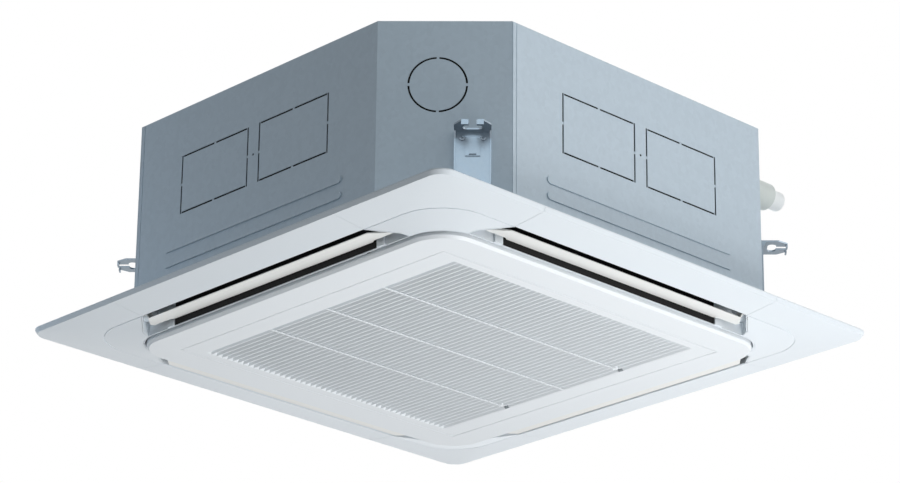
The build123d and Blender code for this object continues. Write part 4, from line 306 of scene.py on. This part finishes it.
grille_plastic = new_material("moulded_polystyrene", "#EBF0F4", roughness=0.42, ior=1.59)
place = add_node(grille_plastic, "ShaderNodeTexCoord").outputs["Object"]
sand = add_node(grille_plastic, "ShaderNodeTexNoise",
                {"Vector": place, "Scale": 1 / satin_grain, "Detail": 3.0})
sand_relief = add_node(grille_plastic, "ShaderNodeBump",
                       {"Height": sand.outputs[0], "Strength": 0.08,
                        "Distance": satin_height})
shader_takes(grille_plastic, "Normal", sand_relief.outputs[0])
finish(grille_plastic, "intake_grille", "latch_left", "latch_right")

# ---- Cross bars of the grille ------------------------------------------------------------
# The three cross bars are moulded with the louvre and end just above the slats' lower edges,
# where they show as pale lines. The outer two stop short of the latch knobs.

bar_pitch = 130 * millimetre
bar_width = 3.5 * millimetre
bar_round = 0.15 * millimetre
bar_round_steps = 3
bar_low = -32.9 * millimetre
bar_top = -32.2 * millimetre
bar_start = -262.5 * millimetre
full_end = 262.5 * millimetre
latch_end = 241 * millimetre

for side, bar_x, bar_end in (("left", -bar_pitch, latch_end), ("middle", 0.0, full_end),
                             ("right", bar_pitch, latch_end)):
    start_piece()
    bpy.ops.mesh.primitive_cube_add(size=1, location=(bar_x, (bar_start + bar_end) / 2,
                                                      (bar_low + bar_top) / 2))
    bar = bpy.context.object
    bar.scale = (bar_width, bar_end - bar_start, bar_top - bar_low)
    place_mesh(bar)
    bpy.ops.object.mode_set(mode="EDIT")
    pick("EDGE", lambda edge: all(v.co.z < bar_low + bar_round / 2 for v in edge.verts)
         and abs(edge.verts[0].co.y - edge.verts[1].co.y) > bar_width)
    bpy.ops.mesh.bevel(offset=bar_round, segments=bar_round_steps, affect="EDGES")
    start_piece()
    bar.select_set(True)
    bpy.ops.object.shade_smooth_by_angle(angle=smooth_below)
    bar.name = "grille_bar_" + side
    bar.data.materials.append(grille_plastic)
    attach(bar, "grille")

# ---- Air filter --------------------------------------------------------------------------
# A net of grey polypropylene threads, woven with about one thread each millimetre and moulded
# into a frame.
# It lies on the grille and shows as a grey ground between the slats. The dark holes between
# the threads are painted shade of the space behind the net.

thread_pitch = 1.2 * millimetre


def stripes(pitch):
    """The scale at which a Wave texture's bands lie one pitch apart."""
    return math.tau / 20 / pitch


filter_net = new_material("woven_polypropylene", "#8B9095", roughness=0.7, ior=1.49)
place = add_node(filter_net, "ShaderNodeTexCoord").outputs["Object"]
warp_threads = add_node(filter_net, "ShaderNodeTexWave",
                        {"Vector": place, "Scale": stripes(thread_pitch)},
                        bands_direction="X")
weft_threads = add_node(filter_net, "ShaderNodeTexWave",
                        {"Vector": place, "Scale": stripes(thread_pitch)},
                        bands_direction="Y")
net = add_node(filter_net, "ShaderNodeMath",
               {0: warp_threads.outputs["Fac"], 1: weft_threads.outputs["Fac"]},
               operation="MAXIMUM")
# The dark colour is painted shade in the holes between the threads.
threads_and_painted_hole_shade = add_node(filter_net, "ShaderNodeMix",
                      {"Factor": net.outputs[0], "A": linear("#3E4347"),
                       "B": linear("#9DA2A6")}, data_type="RGBA")
shader_takes(filter_net, "Base Color", threads_and_painted_hole_shade.outputs[2])
finish(filter_net, "air_filter")

# ---- Fan ---------------------------------------------------------------------------------
# The fan is one moulding of grey ABS with short glass fibres, which leave it dull and
# slightly mottled.

fibre_clump = 2.5 * millimetre

fan_plastic = new_material("glass_filled_abs", "#6F767C", roughness=0.55, ior=1.53)
place = add_node(fan_plastic, "ShaderNodeTexCoord").outputs["Object"]
fibres = add_node(fan_plastic, "ShaderNodeTexNoise",
                  {"Vector": place, "Scale": 1 / fibre_clump, "Detail": 5.0})
fan_colour = add_node(fan_plastic, "ShaderNodeMix",
                      {"Factor": fibres.outputs[0], "A": linear("#666D73"),
                       "B": linear("#7B8287")}, data_type="RGBA")
shader_takes(fan_plastic, "Base Color", fan_colour.outputs[2])
finish(fan_plastic, "turbofan")

# ---- Inlet ring, drain pump, float switch and vane motors --------------------------------
# Housings moulded in black polypropylene. The melt's swirls leave duller and shinier
# patches a few millimetres across.

swirl_size = 4 * millimetre

black_plastic = new_material("black_polypropylene", "#26282B", roughness=0.48, ior=1.49)
place = add_node(black_plastic, "ShaderNodeTexCoord").outputs["Object"]
swirl = add_node(black_plastic, "ShaderNodeTexNoise",
                 {"Vector": place, "Scale": 1 / swirl_size, "Detail": 4.0})
swirl_shine = add_node(black_plastic, "ShaderNodeMapRange",
                       {"Value": swirl.outputs[0], "To Min": 0.4, "To Max": 0.58})
shader_takes(black_plastic, "Roughness", swirl_shine.outputs[0])
finish(black_plastic, "bell_mouth", "drain_pump", "float_switch", "vane_motor_front",
       "vane_motor_right", "vane_motor_back", "vane_motor_left")

# ---- Fan motor ---------------------------------------------------------------------------
# The motor's shell is pressed steel, dipped in black enamel. The enamel is glossy, with the
# fine waves of an orange skin.

peel_size = 1.5 * millimetre
peel_height = 0.2 * millimetre

enamelled_steel = new_material("black_enamelled_steel", "#2B2E31", roughness=0.3, ior=1.5)
place = add_node(enamelled_steel, "ShaderNodeTexCoord").outputs["Object"]
peel = add_node(enamelled_steel, "ShaderNodeTexNoise",
                {"Vector": place, "Scale": 1 / peel_size, "Detail": 1.0})
peel_relief = add_node(enamelled_steel, "ShaderNodeBump",
                       {"Height": peel.outputs[0], "Strength": 0.15,
                        "Distance": peel_height})
shader_takes(enamelled_steel, "Normal", peel_relief.outputs[0])
finish(enamelled_steel, "fan_motor")

# ---- Rubber bushes, plug, drain hose and cable bushing -----------------------------------
# Moulded or extruded black EPDM rubber, pushed over or into the parts that they belong to:
# matt, with a trace of grey dust on it.

dust_size = 3 * millimetre

rubber = new_material("black_epdm_rubber", "#1D1E20", roughness=0.75, ior=1.52)
place = add_node(rubber, "ShaderNodeTexCoord").outputs["Object"]
dust = add_node(rubber, "ShaderNodeTexNoise",
                {"Vector": place, "Scale": 1 / dust_size, "Detail": 5.0})
rubber_colour = add_node(rubber, "ShaderNodeMix",
                         {"Factor": dust.outputs[0], "A": linear("#191A1C"),
                          "B": linear("#28292B")}, data_type="RGBA")
shader_takes(rubber, "Base Color", rubber_colour.outputs[2])
finish(rubber, "motor_mounts", "pan_plug", "drain_hose", "cable_bushing")

# ---- Drain pan and float -----------------------------------------------------------------
# Expanded polystyrene: white beads of about 4 mm, steamed together in a mould, so that a fine
# net of grooves lies between them. The grooves are pressed in as relief and also darkened in
# colour, which is painted shade.

bead = 4 * millimetre
bead_groove = 0.12
bead_height = 0.4 * millimetre

bead_foam = new_material("expanded_polystyrene", "#EEEFEE", roughness=0.8, ior=1.59)
place = add_node(bead_foam, "ShaderNodeTexCoord").outputs["Object"]
beads = add_node(bead_foam, "ShaderNodeTexVoronoi",
                 {"Vector": place, "Scale": 1 / bead}, feature="DISTANCE_TO_EDGE")
bead_edges = add_node(bead_foam, "ShaderNodeMapRange",
                      {"Value": beads.outputs["Distance"], "From Max": bead_groove})
# The darker colour in the grooves is painted shade.
eps_colour_with_painted_groove_shade = add_node(bead_foam, "ShaderNodeMix",
                       {"Factor": bead_edges.outputs[0], "A": linear("#D9DCDC"),
                        "B": linear("#F0F1F0")}, data_type="RGBA")
shader_takes(bead_foam, "Base Color", eps_colour_with_painted_groove_shade.outputs[2])
bead_relief = add_node(bead_foam, "ShaderNodeBump",
                       {"Height": bead_edges.outputs[0], "Strength": 0.4,
                        "Distance": bead_height})
shader_takes(bead_foam, "Normal", bead_relief.outputs[0])
finish(bead_foam, "drain_pan", "float")

# ---- Liners and panel seal ---------------------------------------------------------------
# Sheets of black cellular rubber, cut and glued to the walls and the lid, and a strip of it as
# the seal:
# quite matt, with open cells of about a millimetre. The near-black sheets on the outlet duct
# walls are
# painted shade: they stand for the deep shade inside the ducts.

foam_cell = 1.2 * millimetre
foam_cell_depth = 0.3 * millimetre

# Near black, partly as painted shade deep in the outlet ducts.
foam_and_painted_shade = new_material("cell_rubber_and_painted_shade", "#060607", roughness=0.95, ior=1.5)
place = add_node(foam_and_painted_shade, "ShaderNodeTexCoord").outputs["Object"]
cells = add_node(foam_and_painted_shade, "ShaderNodeTexVoronoi",
                 {"Vector": place, "Scale": 1 / foam_cell}, feature="F1")
cell_relief = add_node(foam_and_painted_shade, "ShaderNodeBump",
                       {"Height": cells.outputs["Distance"], "Strength": 0.5,
                        "Distance": foam_cell_depth})
shader_takes(foam_and_painted_shade, "Normal", cell_relief.outputs[0])
finish(foam_and_painted_shade, "wall_liner", "top_liner", "panel_seal")

# ---- Coil fins ---------------------------------------------------------------------------
# Thin aluminium fins pressed onto the tubes, here one block with a fin line every 2 mm: bright
# edges over dark gaps, where the dark is painted shade between the fins.

fin_pitch = 2.0 * millimetre

fin_metal = new_material("aluminium_fins", "#C3C7CA", roughness=0.35, metallic=0.9)
place = add_node(fin_metal, "ShaderNodeTexCoord").outputs["Object"]
fin_lines_x = add_node(fin_metal, "ShaderNodeTexWave",
                       {"Vector": place, "Scale": stripes(fin_pitch)}, bands_direction="X")
fin_lines_y = add_node(fin_metal, "ShaderNodeTexWave",
                       {"Vector": place, "Scale": stripes(fin_pitch)}, bands_direction="Y")
fin_lines = add_node(fin_metal, "ShaderNodeMath",
                     {0: fin_lines_x.outputs["Fac"], 1: fin_lines_y.outputs["Fac"]},
                     operation="MULTIPLY")
# The darker colour is painted shade in the gaps between the fins.
fins_and_painted_gap_shade = add_node(fin_metal, "ShaderNodeMix",
                      {"Factor": fin_lines.outputs[0], "A": linear("#5E6266"),
                       "B": linear("#CFD3D6")}, data_type="RGBA")
shader_takes(fin_metal, "Base Color", fins_and_painted_gap_shade.outputs[2])
finish(fin_metal, "coil_fins")

# ---- Coil tubes and refrigerant pipes ----------------------------------------------------
# Hairpins and headers of drawn copper. The metal has begun to brown in patches, and it is
# shinier where it is still bright.

tarnish_size = 14 * millimetre

drawn_copper = new_material("drawn_copper", "#B87550", roughness=0.34, metallic=1.0)
place = add_node(drawn_copper, "ShaderNodeTexCoord").outputs["Object"]
tarnish = add_node(drawn_copper, "ShaderNodeTexNoise",
                   {"Vector": place, "Scale": 1 / tarnish_size, "Detail": 5.0})
copper_colour = add_node(drawn_copper, "ShaderNodeMix",
                         {"Factor": tarnish.outputs[0], "A": linear("#8F5636"),
                          "B": linear("#C98A63")}, data_type="RGBA")
shader_takes(drawn_copper, "Base Color", copper_colour.outputs[2])
copper_shine = add_node(drawn_copper, "ShaderNodeMapRange",
                        {"Value": tarnish.outputs[0], "To Min": 0.45, "To Max": 0.26})
shader_takes(drawn_copper, "Roughness", copper_shine.outputs[0])
finish(drawn_copper, "coil_tubes", "gas_pipe", "liquid_pipe")

# ---- Flare nuts --------------------------------------------------------------------------
# Nuts turned from brass bar. The turning tool leaves fine rings round them, drawn here as
# coarse as they need to be to show.

tool_mark_pitch = 0.8 * millimetre
tool_mark_height = 0.1 * millimetre

turned_brass = new_material("turned_brass", "#C5A25C", roughness=0.28, metallic=1.0)
place = add_node(turned_brass, "ShaderNodeTexCoord").outputs["Object"]
tool_marks = add_node(turned_brass, "ShaderNodeTexWave",
                      {"Vector": place, "Scale": stripes(tool_mark_pitch)},
                      bands_direction="Y")
tool_relief = add_node(turned_brass, "ShaderNodeBump",
                       {"Height": tool_marks.outputs["Fac"], "Strength": 0.15,
                        "Distance": tool_mark_height})
shader_takes(turned_brass, "Normal", tool_relief.outputs[0])
finish(turned_brass, "gas_nut", "liquid_nut")

# ---- Terminal block and pump rotor -------------------------------------------------------
# Small mouldings of undyed polypropylene, one in the control box and one in the pump: a
# pale, slightly milky grey-white.

flow_mark = 25 * millimetre

natural_plastic = new_material("natural_polypropylene", "#D5DAD6", roughness=0.42, ior=1.49)
place = add_node(natural_plastic, "ShaderNodeTexCoord").outputs["Object"]
natural_flow = add_node(natural_plastic, "ShaderNodeTexNoise",
                        {"Vector": place, "Scale": 1 / flow_mark, "Detail": 4.0})
natural_colour = add_node(natural_plastic, "ShaderNodeMix",
                          {"Factor": natural_flow.outputs[0], "A": linear("#CCD2CE"),
                           "B": linear("#DCE1DC")}, data_type="RGBA")
shader_takes(natural_plastic, "Base Color", natural_colour.outputs[2])
finish(natural_plastic, "terminal_block", "pump_rotor")

# ---- Drain socket ------------------------------------------------------------------------
# A moulded polypropylene socket with a white stub for the drain pipe at its end, both with the
# same soft shine. The wide socket is coloured pale grey, which is painted shade, so one
# material changes its colour where they meet.

stub_start = 374 * millimetre

socket_plastic = new_material("moulded_polypropylene", "#D5DAD6", roughness=0.38, ior=1.49)
place = add_node(socket_plastic, "ShaderNodeTexCoord").outputs["Object"]
along_socket = add_node(socket_plastic, "ShaderNodeSeparateXYZ", {"Vector": place})
on_stub = add_node(socket_plastic, "ShaderNodeMath",
                   {0: along_socket.outputs["Y"], 1: stub_start}, operation="GREATER_THAN")
socket_flow = add_node(socket_plastic, "ShaderNodeTexNoise",
                       {"Vector": place, "Scale": 1 / flow_mark, "Detail": 4.0})
# The wide socket's pale grey is painted shade; the stub's white is the plastic's own colour.
painted_socket_shade = add_node(socket_plastic, "ShaderNodeMix",
                       {"Factor": socket_flow.outputs[0], "A": linear("#CDD5D2"),
                        "B": linear("#DDE3E0")}, data_type="RGBA")
stub_white = add_node(socket_plastic, "ShaderNodeMix",
                      {"Factor": socket_flow.outputs[0], "A": linear("#EFF4F5"),
                       "B": linear("#FAFCFC")}, data_type="RGBA")
socket_tone_with_painted_shade = add_node(socket_plastic, "ShaderNodeMix",
                         {"Factor": on_stub.outputs[0], "A": painted_socket_shade.outputs[2],
                          "B": stub_white.outputs[2]}, data_type="RGBA")
shader_takes(socket_plastic, "Base Color", socket_tone_with_painted_shade.outputs[2])
finish(socket_plastic, "drain_socket")

# ---- Circuit board -----------------------------------------------------------------------
# A plate of glass-epoxy laminate under green solder resist, which is a little glossy, with
# paler lines where the copper tracks run.

track_spacing = 8 * millimetre

board_resin = new_material("glass_epoxy_board", "#1D5E3C", roughness=0.35, ior=1.55)
place = add_node(board_resin, "ShaderNodeTexCoord").outputs["Object"]
tracks = add_node(board_resin, "ShaderNodeTexBrick",
                  {"Vector": place, "Scale": 1 / track_spacing,
                   "Color1": linear("#1D5E3C"), "Color2": linear("#17502F"),
                   "Mortar": linear("#3E8A5E"), "Mortar Size": 0.03})
shader_takes(board_resin, "Base Color", tracks.outputs["Color"])
finish(board_resin, "control_board")

# ---- Studio floor ------------------------------------------------------------------------
# A plain painted floor. It lies so far below the hanging unit that a camera looking up at
# the panel is still above it. Hardly any lamplight gets there, so the paint glows, but only
# for the rays that show it, and puts no light on the unit.

floor_height = -12.0
floor_width = 60.0
floor_glow = 0.7

start_piece()
bpy.ops.mesh.primitive_plane_add(size=floor_width, location=(0, 0, floor_height))
floor = bpy.context.object
floor.name = "studio_floor"
floor_paint = new_material("pale_floor_paint", "#EEF1F3", roughness=0.6)


def seen_directly(made):
    """1 for a ray that shows a thing, by itself or through gloss or glass, otherwise 0."""
    ray = add_node(made, "ShaderNodeLightPath")
    mirrored = add_node(made, "ShaderNodeMath",
                        {0: ray.outputs["Is Glossy Ray"],
                         1: ray.outputs["Is Transmission Ray"]}, operation="MAXIMUM")
    return add_node(made, "ShaderNodeMath",
                    {0: ray.outputs["Is Camera Ray"], 1: mirrored.outputs[0]},
                    operation="MAXIMUM").outputs[0]


floor_shine = add_node(floor_paint, "ShaderNodeMath",
                       {0: seen_directly(floor_paint), 1: floor_glow},
                       operation="MULTIPLY")
shader_takes(floor_paint, "Emission Strength", floor_shine.outputs[0])
floor_shader = floor_paint.node_tree.nodes["Principled BSDF"]
floor_shader.inputs["Emission Color"].default_value = linear("#FFFFFF")
floor.data.materials.append(floor_paint)

# ---- Studio lamps ------------------------------------------------------------------------
# Square soft boxes. The strongest one lights the panel from below and the right, a second
# one the right wall. Weak, bluish ones fill the left wall and the near corner, and two more
# light the lid and the far side.


def soft_light(name, spot, aim, width, watts, colour):
    """A square lamp that faces its aim."""
    lamp = bpy.data.lights.new(name, "AREA")
    lamp.size = width
    lamp.energy = watts
    lamp.color = linear(colour)[:3]
    holder = bpy.data.objects.new(name, lamp)
    bpy.context.scene.collection.objects.link(holder)
    holder.location = spot
    holder.rotation_euler = (Vector(aim) - Vector(spot)).to_track_quat("-Z", "Y").to_euler()


soft_light("underside_light", spot=(1.35, 0.5, -1.85), aim=(0.1, 0.1, 0), width=1.4,
           watts=43, colour="#FFFFFF")
soft_light("right_light", spot=(2.4, 1.2, 1.2), aim=(0, 0, 0.1), width=1.6,
           watts=15.5, colour="#FFFFFF")
soft_light("left_light", spot=(-1.35, -0.95, 0.1), aim=(-0.3, -0.3, 0.08), width=0.6,
           watts=3.8, colour="#CBE6FF")
soft_light("corner_light", spot=(1.9, -2.0, 1.0), aim=(0, 0, 0.1), width=1.0,
           watts=6, colour="#DDF2FF")
soft_light("top_light", spot=(0.3, 0.6, 2.6), aim=(0, 0, 0.3), width=2.0,
           watts=10, colour="#FFFFFF")
soft_light("back_light", spot=(-2.2, 2.2, 0.6), aim=(0, 0, 0.1), width=1.6,
           watts=12, colour="#F2F8FF")

# ---- Room and backdrop -------------------------------------------------------------------
# The room gives a dim light, strongest from above and from the right and far sides. The
# rays that show the backdrop see it as plain white instead.

brightest_towards = (0.5, 0.42, 0.76)
room_strength = 0.54
backdrop_strength = 1.0

world = bpy.data.worlds.new("studio")
bpy.context.scene.world = world
world.use_nodes = True
world.node_tree.nodes.clear()
direction = add_node(world, "ShaderNodeTexCoord").outputs["Generated"]
towards_bright = add_node(world, "ShaderNodeVectorMath",
                          {0: direction, 1: brightest_towards}, operation="DOT_PRODUCT")
side_glow = add_node(world, "ShaderNodeMapRange",
                     {"Value": towards_bright.outputs["Value"], "From Min": 0.0,
                      "From Max": 1.0})
room_colour = add_node(world, "ShaderNodeMix",
                       {"Factor": side_glow.outputs[0], "A": linear("#1B2228"),
                        "B": linear("#FFFFFF")}, data_type="RGBA")
room_light = add_node(world, "ShaderNodeBackground",
                      {"Color": room_colour.outputs[2], "Strength": room_strength})
backdrop = add_node(world, "ShaderNodeBackground",
                    {"Color": linear("#FFFFFF"), "Strength": backdrop_strength})
shown = add_node(world, "ShaderNodeMixShader",
                 {"Fac": seen_directly(world), 1: room_light.outputs[0],
                  2: backdrop.outputs[0]})
add_node(world, "ShaderNodeOutputWorld", {"Surface": shown.outputs[0]})

# ---- Camera ------------------------------------------------------------------------------
# It looks up at the near corner from below the panel, with a long lens. Its place is given
# by a direction and a distance from the frame's origin, then moved aside and up, and its
# lens by the focal length in pixels of a picture 900 pixels wide.

camera_azimuth = math.radians(46.17)
camera_elevation = math.radians(-21.96)
camera_roll = math.radians(0.59)
camera_distance = 5.27657
camera_right, camera_up = 0.00196, 0.14339
image_width = 900
focal_pixels = 3308.8
sensor_width = 36

back = Vector((math.sin(camera_azimuth) * math.cos(camera_elevation),
               -math.cos(camera_azimuth) * math.cos(camera_elevation),
               math.sin(camera_elevation)))
level = (-back).cross(Vector((0, 0, 1))).normalized()
right = (Matrix.Rotation(camera_roll, 3, back) @ level).normalized()
up = right.cross(-back).normalized()
camera_data = bpy.data.cameras.new("camera")
camera_data.sensor_width = sensor_width
camera_data.lens = focal_pixels / image_width * sensor_width
camera = bpy.data.objects.new("camera", camera_data)
bpy.context.scene.collection.objects.link(camera)
turn = Matrix((right, up, back)).transposed().to_4x4()
camera.matrix_world = Matrix.Translation(back * camera_distance + right * camera_right
                                         + up * camera_up) @ turn
bpy.context.scene.camera = camera
bpy.context.scene.view_settings.view_transform = "Standard"
